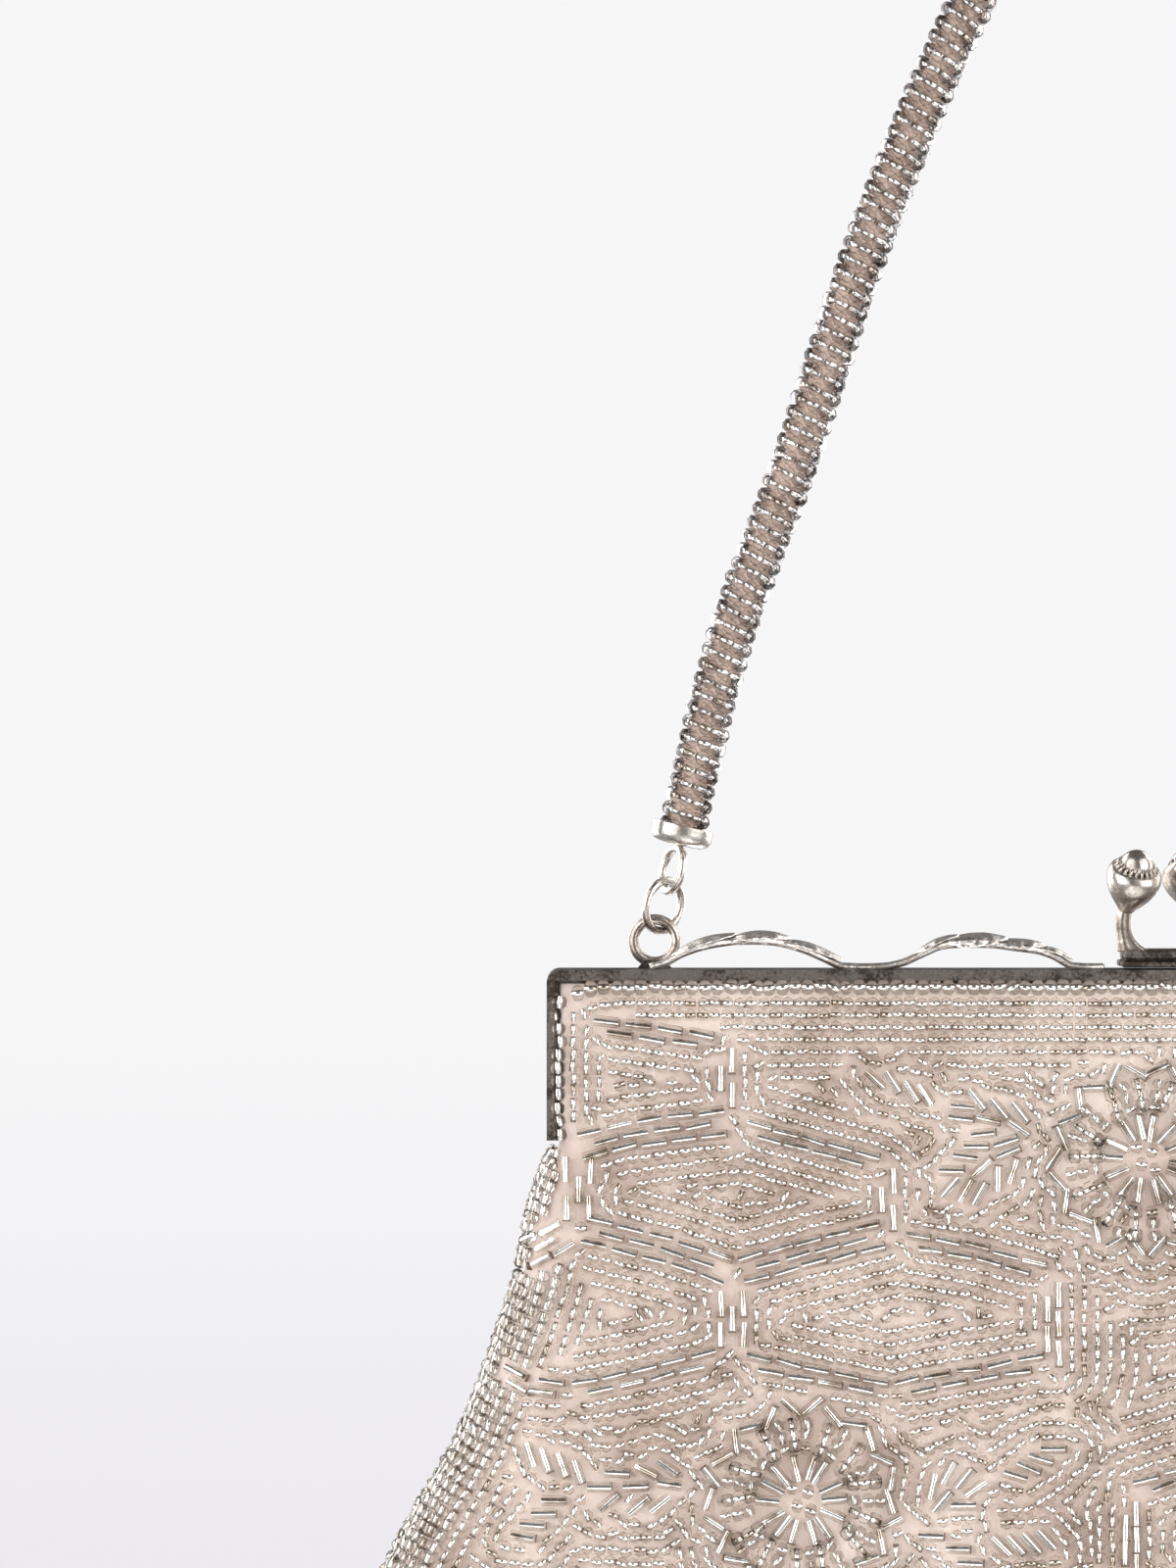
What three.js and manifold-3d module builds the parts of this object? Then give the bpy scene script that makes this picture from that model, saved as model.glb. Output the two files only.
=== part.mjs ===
// A beaded evening bag on a metal kiss-clasp frame, with a bead-wound strap.
//
// Millimetres, +Z up, +Y to the back. The origin is the underside of the strap at its highest point,
// where the bag hangs. Inside the bag group, z = 0 is the top of the frame's rail and y = 0 is the
// plane where the front and back halves of the frame meet.

import * as THREE from "three";
import { mergeVertices } from "three/addons/utils/BufferGeometryUtils.js";
import Module from "manifold-3d";

const wasm = await Module();
wasm.setup();

// Clearances
const SEAT_GAP = 0.3; // between two pieces that bear on each other
const HINGE_GAP = 0.25; // round the hinge pin
const WELD = 0.4; // how deep a soldered piece runs into what it is soldered to

// Frame: two bent half channels that meet at y = 0
const FRAME_HALF_WIDTH = 76.2;
const ARM_LENGTH = 21; // from the top of the rail to the arm's lower end
const RAIL_LIP = 1.3; // height of the bare metal edge above the beads
const ARM_LIP = 1.0; // width of the bare metal edge beside the beads
const HALF_DEPTH = 4.85; // depth of one half, front to back
const CORNER_RADIUS = 1.6;
const FLANGE_WIDTH = 5; // sewing flange behind the cloth
const FLANGE_THICKNESS = 0.8;
const FLANGE_SETBACK = 1.5; // from the face of the frame to the face of the flange

// Hinge at the lower end of each arm
const EAR_RADIUS = 2.3;
const EAR_THICKNESS = 0.9;
const PIN_RADIUS = 0.8;
const PIN_HEAD_RADIUS = 1.5;
const PIN_HEAD_THICKNESS = 0.6;

// Strap lugs on the back half, and the jump rings and eyes linked to them
const LUG_X = 62.8;
const LUG_RING_RADIUS = 2.65; // to the middle of the wire, as on every ring
const LUG_WIRE_RADIUS = 0.6;
const LUG_FOOT_WIDTH = 5;
const LUG_FOOT_TOP_WIDTH = 2.6;
const LUG_FOOT_HEIGHT = 1;
const LUG_FOOT_DEPTH = 1.7;
const JUMP_RING_RADIUS = 3.18;
const JUMP_WIRE_RADIUS = 0.45;
const CAP_EYE_RADIUS = 2.75;
const EYE_WIRE_RADIUS = 0.5;
const PULL_ANGLE = 14; // degrees that the links lean towards the middle
const JUMP_RING_TURN = 47; // degrees that the jump ring is turned from the front
const CAP_EYE_TURN = -66;

// Scroll ornament on the front rail
const SCROLL_HEIGHT = 3.75;
const SCROLL_HALF_WIDTH = 2.1;
const SCROLL_THICKNESS = 0.8;

// Kiss clasp
const CLASP_HALF_LENGTH = 5.2;
const CLASP_DEPTH = 3.9;
const CLASP_FOOT_HEIGHT = 0.75;
const CLASP_BAR_HEIGHT = 1.4;
const CLASP_BAR_INSET = 0.35; // from the edge of the foot to the bar on it
const STEM_WIDTH = 1.9;
const STEM_THICKNESS = 1.0;
const STEM_HEIGHT = 4.9;
const STEM_INSET = 0.9; // from the end of the bar to the middle of the stem
const KNOB_RADIUS = 3.45;
const KNOB_HEIGHT = 8.3;
const KNOB_LEAN = 10; // degrees towards the middle
const KNOB_OFFSET_Y = 0.7; // from the plane where the halves meet to the knob's axis

// Cloth bag: wall with its beads
const WALL = 2.1;
const BAG_DEPTH = 145; // from the top of the rail to the bottom seam
const BAG_WIDEST_DEPTH = 110;
const BAG_HALF_WIDTH = 110;
const BAG_HALF_THICKNESS = 12.5;
const SEAM_HALF_THICKNESS = 0.35; // least half thickness of the hollow at the bottom seam

// Strap and its end caps
const STRAP_RADIUS = 3.1;
const STRAP_SIDES = 12;
const STRAP_STEPS = 56;
const HANG_HEIGHT = 147; // from the top of the rail to the strap's underside at its highest point
const CAP_WALL = 0.45;
const CAP_FLOOR = 0.6;
const CAP_HEIGHT = 2.5;
const CAP_EDGE_RADIUS = 0.7;

// Middle line of the left half of the strap: shares of LUG_X and of the height of its highest point.
const STRAP_ROUTE = [
  [0.911, 0.1765],
  [0.874, 0.2405],
  [0.826, 0.305],
  [0.767, 0.369],
  [0.711, 0.4335],
  [0.661, 0.4975],
  [0.611, 0.5615],
  [0.555, 0.6255],
  [0.493, 0.69],
  [0.427, 0.7545],
  [0.352, 0.8185],
  [0.271, 0.8825],
  [0.181, 0.947],
  [0.093, 0.987],
];

// Sections of the bag below the frame's arms, down to where it is widest. Each share runs from the
// bag's size at the arms to its full size.
const FLARE_SECTIONS = [
  { depth: 0.021, width: 0.05, thickness: 0.01, edge: 0.034 },
  { depth: 0.062, width: 0.091, thickness: 0.04, edge: 0.044 },
  { depth: 0.102, width: 0.126, thickness: 0.09, edge: 0.055 },
  { depth: 0.183, width: 0.16, thickness: 0.2, edge: 0.075 },
  { depth: 0.265, width: 0.226, thickness: 0.31, edge: 0.095 },
  { depth: 0.346, width: 0.3, thickness: 0.42, edge: 0.11 },
  { depth: 0.427, width: 0.383, thickness: 0.53, edge: 0.125 },
  { depth: 0.509, width: 0.506, thickness: 0.64, edge: 0.14 },
  { depth: 0.59, width: 0.617, thickness: 0.74, edge: 0.16 },
  { depth: 0.68, width: 0.735, thickness: 0.83, edge: 0.19 },
  { depth: 0.77, width: 0.845, thickness: 0.91, edge: 0.22 },
  { depth: 0.88, width: 0.945, thickness: 0.97, edge: 0.26 },
  { depth: 1, width: 1, thickness: 1, edge: 0.3 },
];

// Sections from the widest one down to the bottom seam, as shares of the full size.
const BOTTOM_SECTIONS = [
  { depth: 0.23, width: 0.993, thickness: 0.975, edge: 0.34 },
  { depth: 0.46, width: 0.966, thickness: 0.89, edge: 0.38 },
  { depth: 0.66, width: 0.914, thickness: 0.76, edge: 0.42 },
  { depth: 0.81, width: 0.842, thickness: 0.6, edge: 0.46 },
  { depth: 0.915, width: 0.75, thickness: 0.44, edge: 0.5 },
  { depth: 0.977, width: 0.64, thickness: 0.29, edge: 0.54 },
  { depth: 1, width: 0.5, thickness: 0.16, edge: 0.58 },
];
const NECK_EDGE = 0.03; // share of the half width in which the cloth rounds over at the frame
const PANEL_CROWN = 0.1; // share of the thickness lost from the middle of a panel to its edge
const PANEL_STEPS = 6; // points on a quarter section's face, and on its rounded edge
const EDGE_STEPS = 6;

// The scroll from the lug to the clasp. run: 0 at the lug and 1 at the inner foot. height, width and
// thickness are shares of the scroll's sizes.
const SCROLL_SECTIONS = [
  { run: -0.012, height: 0.07, width: 0.35, thickness: 0.9 },
  { run: 0.02, height: 0.18, width: 0.42, thickness: 0.9 },
  { run: 0.056, height: 0.5, width: 0.5, thickness: 0.9 },
  { run: 0.09, height: 0.7, width: 0.72, thickness: 1 },
  { run: 0.125, height: 0.84, width: 0.9, thickness: 1.1 },
  { run: 0.16, height: 0.91, width: 0.62, thickness: 1 },
  { run: 0.176, height: 0.93, width: 0.5, thickness: 0.9 },
  { run: 0.2, height: 0.98, width: 0.9, thickness: 1.3 },
  { run: 0.229, height: 1, width: 1, thickness: 1.45 },
  { run: 0.262, height: 0.95, width: 0.8, thickness: 1.2 },
  { run: 0.289, height: 0.84, width: 0.46, thickness: 0.9 },
  { run: 0.315, height: 0.76, width: 0.78, thickness: 1.1 },
  { run: 0.342, height: 0.62, width: 0.8, thickness: 1.1 },
  { run: 0.38, height: 0.34, width: 0.6, thickness: 0.9 },
  { run: 0.411, height: 0.11, width: 0.5, thickness: 0.9 },
  { run: 0.45, height: 0.075, width: 0.7, thickness: 0.9 },
  { run: 0.485, height: 0.075, width: 0.5, thickness: 0.9 },
  { run: 0.52, height: 0.11, width: 0.45, thickness: 0.9 },
  { run: 0.5545, height: 0.23, width: 0.5, thickness: 0.9 },
  { run: 0.593, height: 0.5, width: 0.55, thickness: 0.9 },
  { run: 0.629, height: 0.76, width: 0.6, thickness: 1 },
  { run: 0.66, height: 0.87, width: 0.85, thickness: 1.3 },
  { run: 0.7, height: 0.91, width: 1, thickness: 1.6 },
  { run: 0.735, height: 0.9, width: 0.85, thickness: 1.5 },
  { run: 0.765, height: 0.83, width: 0.55, thickness: 1.1 },
  { run: 0.8, height: 0.76, width: 0.85, thickness: 1.2 },
  { run: 0.835, height: 0.69, width: 0.75, thickness: 1.1 },
  { run: 0.86, height: 0.6, width: 0.45, thickness: 0.85 },
  { run: 0.89, height: 0.44, width: 0.4, thickness: 0.85 },
  { run: 0.924, height: 0.12, width: 0.5, thickness: 0.9 },
  { run: 0.96, height: 0.075, width: 0.62, thickness: 0.9 },
  { run: 1, height: 0.075, width: 0.4, thickness: 0.9 },
];

// Outline of a clasp knob, from its neck to its tip: shares of KNOB_RADIUS and KNOB_HEIGHT.
const KNOB_OUTLINE = [
  { radius: 0.3, height: 0 },
  { radius: 0.44, height: 0.09 },
  { radius: 0.68, height: 0.26 },
  { radius: 0.91, height: 0.46 },
  { radius: 1, height: 0.62 },
  { radius: 0.93, height: 0.74 },
  { radius: 0.66, height: 0.775 },
  { radius: 0.6, height: 0.86 },
  { radius: 0.4, height: 0.965 },
];

// Work out the places that several pieces share
const HALF_GAP = SEAT_GAP / 2; // each half of the frame stays this far from y = 0
const FRAME_FACE_Y = HALF_GAP + HALF_DEPTH;
const FLANGE_FACE_Y = FRAME_FACE_Y - FLANGE_SETBACK;
const HALF_MIDDLE_Y = HALF_GAP + HALF_DEPTH / 2;
const HINGE_Z = -(ARM_LENGTH - EAR_RADIUS);
const NECK_HALF_WIDTH = FRAME_HALF_WIDTH - ARM_LIP - SEAT_GAP;
const NECK_HALF_THICKNESS = FLANGE_FACE_Y + SEAT_GAP + WALL;
const PANEL_TOP_Z = -(RAIL_LIP + SEAT_GAP);
const LUG_CENTRE_Z = LUG_RING_RADIUS + LUG_WIRE_RADIUS + SEAT_GAP / 2;
const PULL = new THREE.Vector3(
  Math.sin(THREE.MathUtils.degToRad(PULL_ANGLE)),
  0,
  Math.cos(THREE.MathUtils.degToRad(PULL_ANGLE)),
);

// Materials
const metal = (color, roughness) =>
  new THREE.MeshStandardMaterial({ color, roughness, metalness: 1 });
const tarnishedSilver = metal(0x6e655e, 0.42);
const brightSilver = metal(0xb9b2aa, 0.3);
const beadedCloth = new THREE.MeshStandardMaterial({
  color: 0xc9b8a6,
  roughness: 0.45,
});
const strapBeads = new THREE.MeshStandardMaterial({
  color: 0xb7aaa2,
  roughness: 0.35,
});

// Solids: a closed geometry as a manifold solid, and back
function solidOf(geometry) {
  const bare = new THREE.BufferGeometry();
  bare.setAttribute("position", geometry.getAttribute("position"));
  bare.setIndex(geometry.index);
  const merged = mergeVertices(bare, 1e-4);
  return new wasm.Manifold(
    new wasm.Mesh({
      numProp: 3,
      vertProperties: merged.attributes.position.array,
      triVerts: new Uint32Array(merged.index.array),
    }),
  );
}

function geometryOf(solid) {
  const mesh = solid.getMesh();
  const geometry = new THREE.BufferGeometry();
  geometry.setAttribute(
    "position",
    new THREE.BufferAttribute(mesh.vertProperties, mesh.numProp),
  );
  geometry.setIndex(new THREE.BufferAttribute(mesh.triVerts, 1));
  geometry.computeVertexNormals();
  return geometry;
}

const join = (...geometries) =>
  geometryOf(geometries.map(solidOf).reduce((all, next) => all.add(next)));
const cut = (geometry, ...tools) =>
  geometryOf(
    tools.map(solidOf).reduce((left, tool) => left.subtract(tool), solidOf(geometry)),
  );

// A closed body through rings of equally many points, with a flat face on the first and last ring.
// Seen from the first ring towards the last, each ring runs counterclockwise.
function loft(rings) {
  const count = rings[0].length;
  const last = (rings.length - 1) * count;
  const indices = [];
  for (let i = 0; i < rings.length - 1; i++) {
    for (let j = 0; j < count; j++) {
      const next = (j + 1) % count;
      const near = i * count;
      const far = near + count;
      indices.push(near + j, far + j, far + next);
      indices.push(near + j, far + next, near + next);
    }
  }
  for (let j = 1; j < count - 1; j++) {
    indices.push(0, j, j + 1);
    indices.push(last, last + j + 1, last + j);
  }
  const geometry = new THREE.BufferGeometry();
  geometry.setAttribute(
    "position",
    new THREE.Float32BufferAttribute(rings.flat().flatMap((p) => p.toArray()), 3),
  );
  geometry.setIndex(indices);
  return geometry;
}

// A shape drawn in X and Z, as a slab between two Y planes
function slab(shape, lowY, highY) {
  const options = { depth: highY - lowY, bevelEnabled: false, curveSegments: 5 };
  return new THREE.ExtrudeGeometry(shape, options)
    .rotateX(Math.PI / 2)
    .translate(0, highY, 0);
}

const box = (lowX, highX, lowY, highY, lowZ, highZ) =>
  new THREE.BoxGeometry(highX - lowX, highY - lowY, highZ - lowZ).translate(
    (lowX + highX) / 2,
    (lowY + highY) / 2,
    (lowZ + highZ) / 2,
  );

// A cylinder along X
const disc = (radius, lowX, highX, z, sides = 20) =>
  new THREE.CylinderGeometry(radius, radius, highX - lowX, sides)
    .rotateZ(Math.PI / 2)
    .translate((lowX + highX) / 2, 0, z);

// A closed ring of wire in the XZ plane
const wireRing = (radius, wireRadius) =>
  new THREE.TorusGeometry(radius, wireRadius, 6, 16).rotateX(Math.PI / 2);

// Frame: an arch of sheet metal drawn in X and Z, as wide as its rail and two arms
function archShape(halfWidth, topZ, bottomZ, armWidth, railHeight, radius) {
  const innerX = halfWidth - armWidth;
  const innerZ = topZ - railHeight;
  const shape = new THREE.Shape();
  shape.moveTo(-halfWidth, bottomZ);
  shape.lineTo(-innerX, bottomZ);
  shape.lineTo(-innerX, innerZ);
  shape.lineTo(innerX, innerZ);
  shape.lineTo(innerX, bottomZ);
  shape.lineTo(halfWidth, bottomZ);
  shape.absarc(halfWidth - radius, topZ - radius, radius, 0, Math.PI / 2);
  shape.absarc(radius - halfWidth, topZ - radius, radius, Math.PI / 2, Math.PI);
  return shape;
}

// The outer wall and the sewing flange of a half. side is -1 for the front and 1 for the back.
function frameHalf(side, armLength) {
  const between = (a, b) => [Math.min(side * a, side * b), Math.max(side * a, side * b)];
  const wall = slab(
    archShape(FRAME_HALF_WIDTH, 0, -armLength, ARM_LIP, RAIL_LIP, CORNER_RADIUS),
    ...between(HALF_GAP, FRAME_FACE_Y),
  );
  const sunk = Math.min(ARM_LIP, RAIL_LIP) / 2;
  const flange = slab(
    archShape(
      FRAME_HALF_WIDTH - sunk,
      -sunk,
      HINGE_Z - EAR_RADIUS / 2,
      ARM_LIP - sunk + FLANGE_WIDTH,
      RAIL_LIP - sunk + FLANGE_WIDTH,
      CORNER_RADIUS,
    ),
    ...between(FLANGE_FACE_Y - FLANGE_THICKNESS, FLANGE_FACE_Y),
  );
  return join(wall, flange);
}

// Where the back half's ear lies, inside the front half's ear
const INNER_EAR_X = FRAME_HALF_WIDTH - ARM_LIP - SEAT_GAP;

function pinHoles() {
  const reach = INNER_EAR_X - EAR_THICKNESS - SEAT_GAP;
  return [-1, 1].map((side) => {
    const ends = [side * reach, side * (FRAME_HALF_WIDTH + SEAT_GAP)];
    return disc(PIN_RADIUS + HINGE_GAP, Math.min(...ends), Math.max(...ends), HINGE_Z);
  });
}

// One leafy wave of flat strip, soldered on the front rail from a lug's foot to the clasp
function scroll(side) {
  const length = LUG_X - CLASP_HALF_LENGTH - STEM_WIDTH - SEAT_GAP;
  const middles = SCROLL_SECTIONS.map(
    ({ run, height }) => new THREE.Vector2(run * length, height * SCROLL_HEIGHT),
  );
  const rings = SCROLL_SECTIONS.map(({ width, thickness }, i) => {
    const before = middles[Math.max(i - 1, 0)];
    const after = middles[Math.min(i + 1, middles.length - 1)];
    const along = after.clone().sub(before).normalize();
    const half = (thickness * SCROLL_THICKNESS) / 2;
    const offsetX = -along.y * half;
    const offsetZ = along.x * half;
    const halfY = width * SCROLL_HALF_WIDTH;
    const corner = (up, y) =>
      new THREE.Vector3(
        middles[i].x + up * offsetX - LUG_X,
        -HALF_MIDDLE_Y + y * halfY,
        middles[i].y + up * offsetZ,
      );
    return [corner(-1, -1), corner(1, -1), corner(1, 1), corner(-1, 1)];
  });
  if (side < 0) return loft(rings);
  const mirrored = rings
    .map((ring) => ring.map((p) => new THREE.Vector3(-p.x, p.y, p.z)))
    .reverse();
  return loft(mirrored);
}

function frontFrame() {
  const ears = [-1, 1].map((side) => {
    const ends = [side * (FRAME_HALF_WIDTH - ARM_LIP), side * FRAME_HALF_WIDTH];
    return disc(EAR_RADIUS, Math.min(...ends), Math.max(...ends), HINGE_Z);
  });
  const half = join(frameHalf(-1, ARM_LENGTH), ...ears, scroll(-1), scroll(1));
  return cut(half, ...pinHoles());
}

// A lug: a ring on a small tapered foot
function lug(side) {
  const foot = new THREE.Shape();
  foot.moveTo(-LUG_FOOT_WIDTH / 2, -WELD);
  foot.lineTo(LUG_FOOT_WIDTH / 2, -WELD);
  foot.lineTo(LUG_FOOT_TOP_WIDTH / 2, LUG_FOOT_HEIGHT);
  foot.lineTo(-LUG_FOOT_TOP_WIDTH / 2, LUG_FOOT_HEIGHT);
  return join(
    slab(foot, -LUG_FOOT_DEPTH / 2, LUG_FOOT_DEPTH / 2),
    wireRing(LUG_RING_RADIUS, LUG_WIRE_RADIUS).translate(0, 0, LUG_CENTRE_Z),
  ).translate(side * LUG_X, HALF_MIDDLE_Y, 0);
}
function backFrame() {
  const armLength = -(HINGE_Z + EAR_RADIUS + SEAT_GAP);
  const ears = [-1, 1].map((side) => {
    const ends = [side * (INNER_EAR_X - EAR_THICKNESS), side * INNER_EAR_X];
    const low = Math.min(...ends);
    const high = Math.max(...ends);
    const web = box(
      low,
      high,
      0,
      FLANGE_FACE_Y - FLANGE_THICKNESS / 2,
      HINGE_Z - EAR_RADIUS / 2,
      HINGE_Z + EAR_RADIUS,
    );
    return join(disc(EAR_RADIUS, low, high, HINGE_Z), web);
  });
  const half = join(frameHalf(1, armLength), ...ears, lug(-1), lug(1));
  return cut(half, ...pinHoles());
}

// A rivet with its head inside the frame and its end flush with the outer ear
function hingePin(side) {
  const headX = INNER_EAR_X - EAR_THICKNESS - SEAT_GAP;
  const pin = join(
    disc(PIN_RADIUS, headX - PIN_HEAD_THICKNESS / 2, FRAME_HALF_WIDTH, HINGE_Z, 12),
    disc(PIN_HEAD_RADIUS, headX - PIN_HEAD_THICKNESS, headX, HINGE_Z, 12),
  );
  return side < 0 ? pin.rotateZ(Math.PI) : pin;
}

// Half of the clasp: a folded bar on the rail, a bent stem at one end of it, and a bud-shaped knob.
// It is drawn for the front half, whose stem is on the left, and turned half round for the back.
function clasp() {
  const footTop = SEAT_GAP + CLASP_FOOT_HEIGHT;
  const barTop = footTop + CLASP_BAR_HEIGHT;
  const halfDepth = CLASP_DEPTH / 2;
  const foot = box(
    -CLASP_HALF_LENGTH,
    CLASP_HALF_LENGTH,
    -HALF_MIDDLE_Y - halfDepth,
    -HALF_MIDDLE_Y + halfDepth,
    SEAT_GAP,
    footTop,
  );
  const bar = box(
    CLASP_BAR_INSET - CLASP_HALF_LENGTH,
    CLASP_HALF_LENGTH - CLASP_BAR_INSET,
    -HALF_MIDDLE_Y - halfDepth + CLASP_BAR_INSET,
    -HALF_MIDDLE_Y + halfDepth - CLASP_BAR_INSET,
    footTop - WELD,
    barTop,
  );
  const lean = THREE.MathUtils.degToRad(KNOB_LEAN);
  const widestX = KNOB_RADIUS + HALF_GAP;
  const neckX = -widestX - Math.sin(lean) * KNOB_HEIGHT * KNOB_OUTLINE[4].height;
  const neckZ = barTop + STEM_HEIGHT;
  const stemX = STEM_INSET - CLASP_HALF_LENGTH;
  const stemSteps = 8;
  const rings = [];
  for (let i = 0; i <= stemSteps; i++) {
    const t = i / stemSteps;
    const ease = t * t * (3 - 2 * t);
    const x = THREE.MathUtils.lerp(stemX, neckX, ease);
    const y = THREE.MathUtils.lerp(-HALF_MIDDLE_Y, -KNOB_OFFSET_Y, ease);
    const z = THREE.MathUtils.lerp(barTop - WELD, neckZ + WELD, t);
    const spread = 1 + 0.5 * (1 - t) ** 4;
    const halfX = (STEM_WIDTH / 2) * spread;
    const halfY = STEM_THICKNESS / 2;
    rings.unshift([
      new THREE.Vector3(x - halfX, y - halfY, z),
      new THREE.Vector3(x + halfX, y - halfY, z),
      new THREE.Vector3(x + halfX, y + halfY, z),
      new THREE.Vector3(x - halfX, y + halfY, z),
    ]);
  }
  const outline = KNOB_OUTLINE.map(
    ({ radius, height }) =>
      new THREE.Vector2(radius * KNOB_RADIUS, height * KNOB_HEIGHT),
  );
  outline.unshift(new THREE.Vector2(0, 0));
  outline.push(new THREE.Vector2(0, KNOB_HEIGHT));
  const knob = new THREE.LatheGeometry(outline, 16)
    .rotateX(Math.PI / 2)
    .rotateY(lean)
    .translate(neckX, -KNOB_OFFSET_Y, neckZ);
  return join(foot, bar, loft(rings), knob);
}

// The bag's sections, from the top edge to the bottom seam, as sizes in millimetres. inset is 0 for
// the outside and WALL for the hollow.
function bagSections(inset) {
  const armEnd = ARM_LENGTH + SEAT_GAP;
  const flareDepth = BAG_WIDEST_DEPTH - armEnd;
  const bottomDepth = BAG_DEPTH - inset - BAG_WIDEST_DEPTH;
  const neck = [-PANEL_TOP_Z - inset, armEnd / 2, armEnd].map((depth) => ({
    z: -depth,
    halfWidth: NECK_HALF_WIDTH,
    halfThickness: NECK_HALF_THICKNESS,
    edge: NECK_EDGE,
  }));
  const flare = FLARE_SECTIONS.map(({ depth, width, thickness, edge }) => ({
    z: -(armEnd + depth * flareDepth),
    halfWidth: THREE.MathUtils.lerp(NECK_HALF_WIDTH, BAG_HALF_WIDTH, width),
    halfThickness: THREE.MathUtils.lerp(
      NECK_HALF_THICKNESS,
      BAG_HALF_THICKNESS,
      thickness,
    ),
    edge,
  }));
  const bottom = BOTTOM_SECTIONS.map(({ depth, width, thickness, edge }) => ({
    z: -(BAG_WIDEST_DEPTH + depth * bottomDepth),
    halfWidth: BAG_HALF_WIDTH * width,
    halfThickness: BAG_HALF_THICKNESS * thickness,
    edge,
  }));
  return [...neck, ...flare, ...bottom].map(({ z, halfWidth, halfThickness, edge }) => ({
    z,
    halfWidth: halfWidth - inset,
    halfThickness: Math.max(halfThickness - inset, SEAM_HALF_THICKNESS),
    edgeWidth: halfWidth * edge,
  }));
}

// One level section: two slightly crowned faces joined by elliptic edges, counterclockwise from above
function bagRing({ z, halfWidth, halfThickness, edgeWidth }) {
  const faceHalfWidth = halfWidth - edgeWidth;
  const crown = Math.min(PANEL_CROWN, 1 - NECK_HALF_THICKNESS / BAG_HALF_THICKNESS);
  const swell = Math.max(0, halfThickness - NECK_HALF_THICKNESS) / halfThickness;
  const edgeThickness = halfThickness * (1 - crown * swell);
  const quarter = [];
  for (let i = 0; i < EDGE_STEPS; i++) {
    const angle = (i / EDGE_STEPS) * (Math.PI / 2);
    quarter.push([
      faceHalfWidth + edgeWidth * Math.cos(angle),
      edgeThickness * Math.sin(angle),
    ]);
  }
  for (let i = 0; i < PANEL_STEPS; i++) {
    const across = 1 - i / PANEL_STEPS;
    quarter.push([
      faceHalfWidth * across,
      THREE.MathUtils.lerp(halfThickness, edgeThickness, across * across),
    ]);
  }
  const back = [...quarter, [0, halfThickness]];
  const backLeft = quarter.slice(1).reverse().map(([x, y]) => [-x, y]);
  const upper = [...back, ...backLeft];
  const lower = upper.map(([x, y]) => [-x, -y]);
  return [...upper, ...lower].map(([x, y]) => new THREE.Vector3(x, y, z));
}

function bagBody() {
  const outside = loft(bagSections(0).map(bagRing));
  const hollow = loft(bagSections(WALL).map(bagRing));
  const slotY = FLANGE_FACE_Y + SEAT_GAP;
  const slots = [-1, 1].map((side) => {
    const ends = [
      side * (NECK_HALF_WIDTH - FLANGE_WIDTH),
      side * (FRAME_HALF_WIDTH + WALL),
    ];
    return box(
      Math.min(...ends),
      Math.max(...ends),
      -slotY,
      slotY,
      -(ARM_LENGTH + SEAT_GAP),
      0,
    );
  });
  return cut(outside, hollow, ...slots);
}

// Links of one strap end, each centre on the line of pull from the lug. y = 0 is the links' middle.
const JUMP_RING_AT =
  LUG_RING_RADIUS + JUMP_RING_RADIUS - LUG_WIRE_RADIUS - JUMP_WIRE_RADIUS - SEAT_GAP;
const CAP_EYE_AT =
  JUMP_RING_AT +
  (JUMP_RING_RADIUS + CAP_EYE_RADIUS - JUMP_WIRE_RADIUS - EYE_WIRE_RADIUS - SEAT_GAP);
const CAP_UNDERSIDE_AT = CAP_EYE_AT + CAP_EYE_RADIUS + EYE_WIRE_RADIUS - WELD;
const STRAP_END_AT = CAP_UNDERSIDE_AT + CAP_FLOOR + SEAT_GAP;

const jumpRing = () =>
  wireRing(JUMP_RING_RADIUS, JUMP_WIRE_RADIUS).rotateZ(THREE.MathUtils.degToRad(JUMP_RING_TURN));

// A thin cup for the strap's end, with an eye soldered under its floor
function strapCap() {
  const inner = STRAP_RADIUS + SEAT_GAP;
  const outer = inner + CAP_WALL;
  const profile = [
    new THREE.Vector2(0, 0),
    new THREE.Vector2(outer - CAP_EDGE_RADIUS, 0),
    new THREE.Vector2(outer - CAP_EDGE_RADIUS * 0.3, CAP_EDGE_RADIUS * 0.3),
    new THREE.Vector2(outer, CAP_EDGE_RADIUS),
    new THREE.Vector2(outer, CAP_HEIGHT),
    new THREE.Vector2(inner, CAP_HEIGHT),
    new THREE.Vector2(inner, CAP_FLOOR),
    new THREE.Vector2(0, CAP_FLOOR),
  ];
  const cup = new THREE.LatheGeometry(profile, 24).rotateX(Math.PI / 2);
  const eye = wireRing(CAP_EYE_RADIUS, EYE_WIRE_RADIUS)
    .rotateZ(THREE.MathUtils.degToRad(CAP_EYE_TURN))
    .translate(0, 0, CAP_EYE_AT - CAP_UNDERSIDE_AT);
  return join(cup, eye);
}

// The strap's middle line, from its left cap over its highest point to its right cap
function strapCurve() {
  const end = PULL.clone().multiplyScalar(STRAP_END_AT);
  const height = HANG_HEIGHT + STRAP_RADIUS;
  const left = STRAP_ROUTE.map(([x, z]) => new THREE.Vector3(-x * LUG_X, 0, z * height));
  left.unshift(new THREE.Vector3(end.x - LUG_X, 0, end.z + LUG_CENTRE_Z));
  const right = left.map((p) => new THREE.Vector3(-p.x, 0, p.z)).reverse();
  const points = [...left, new THREE.Vector3(0, 0, height), ...right];
  return new THREE.CatmullRomCurve3(points, false, "centripetal");
}

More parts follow.
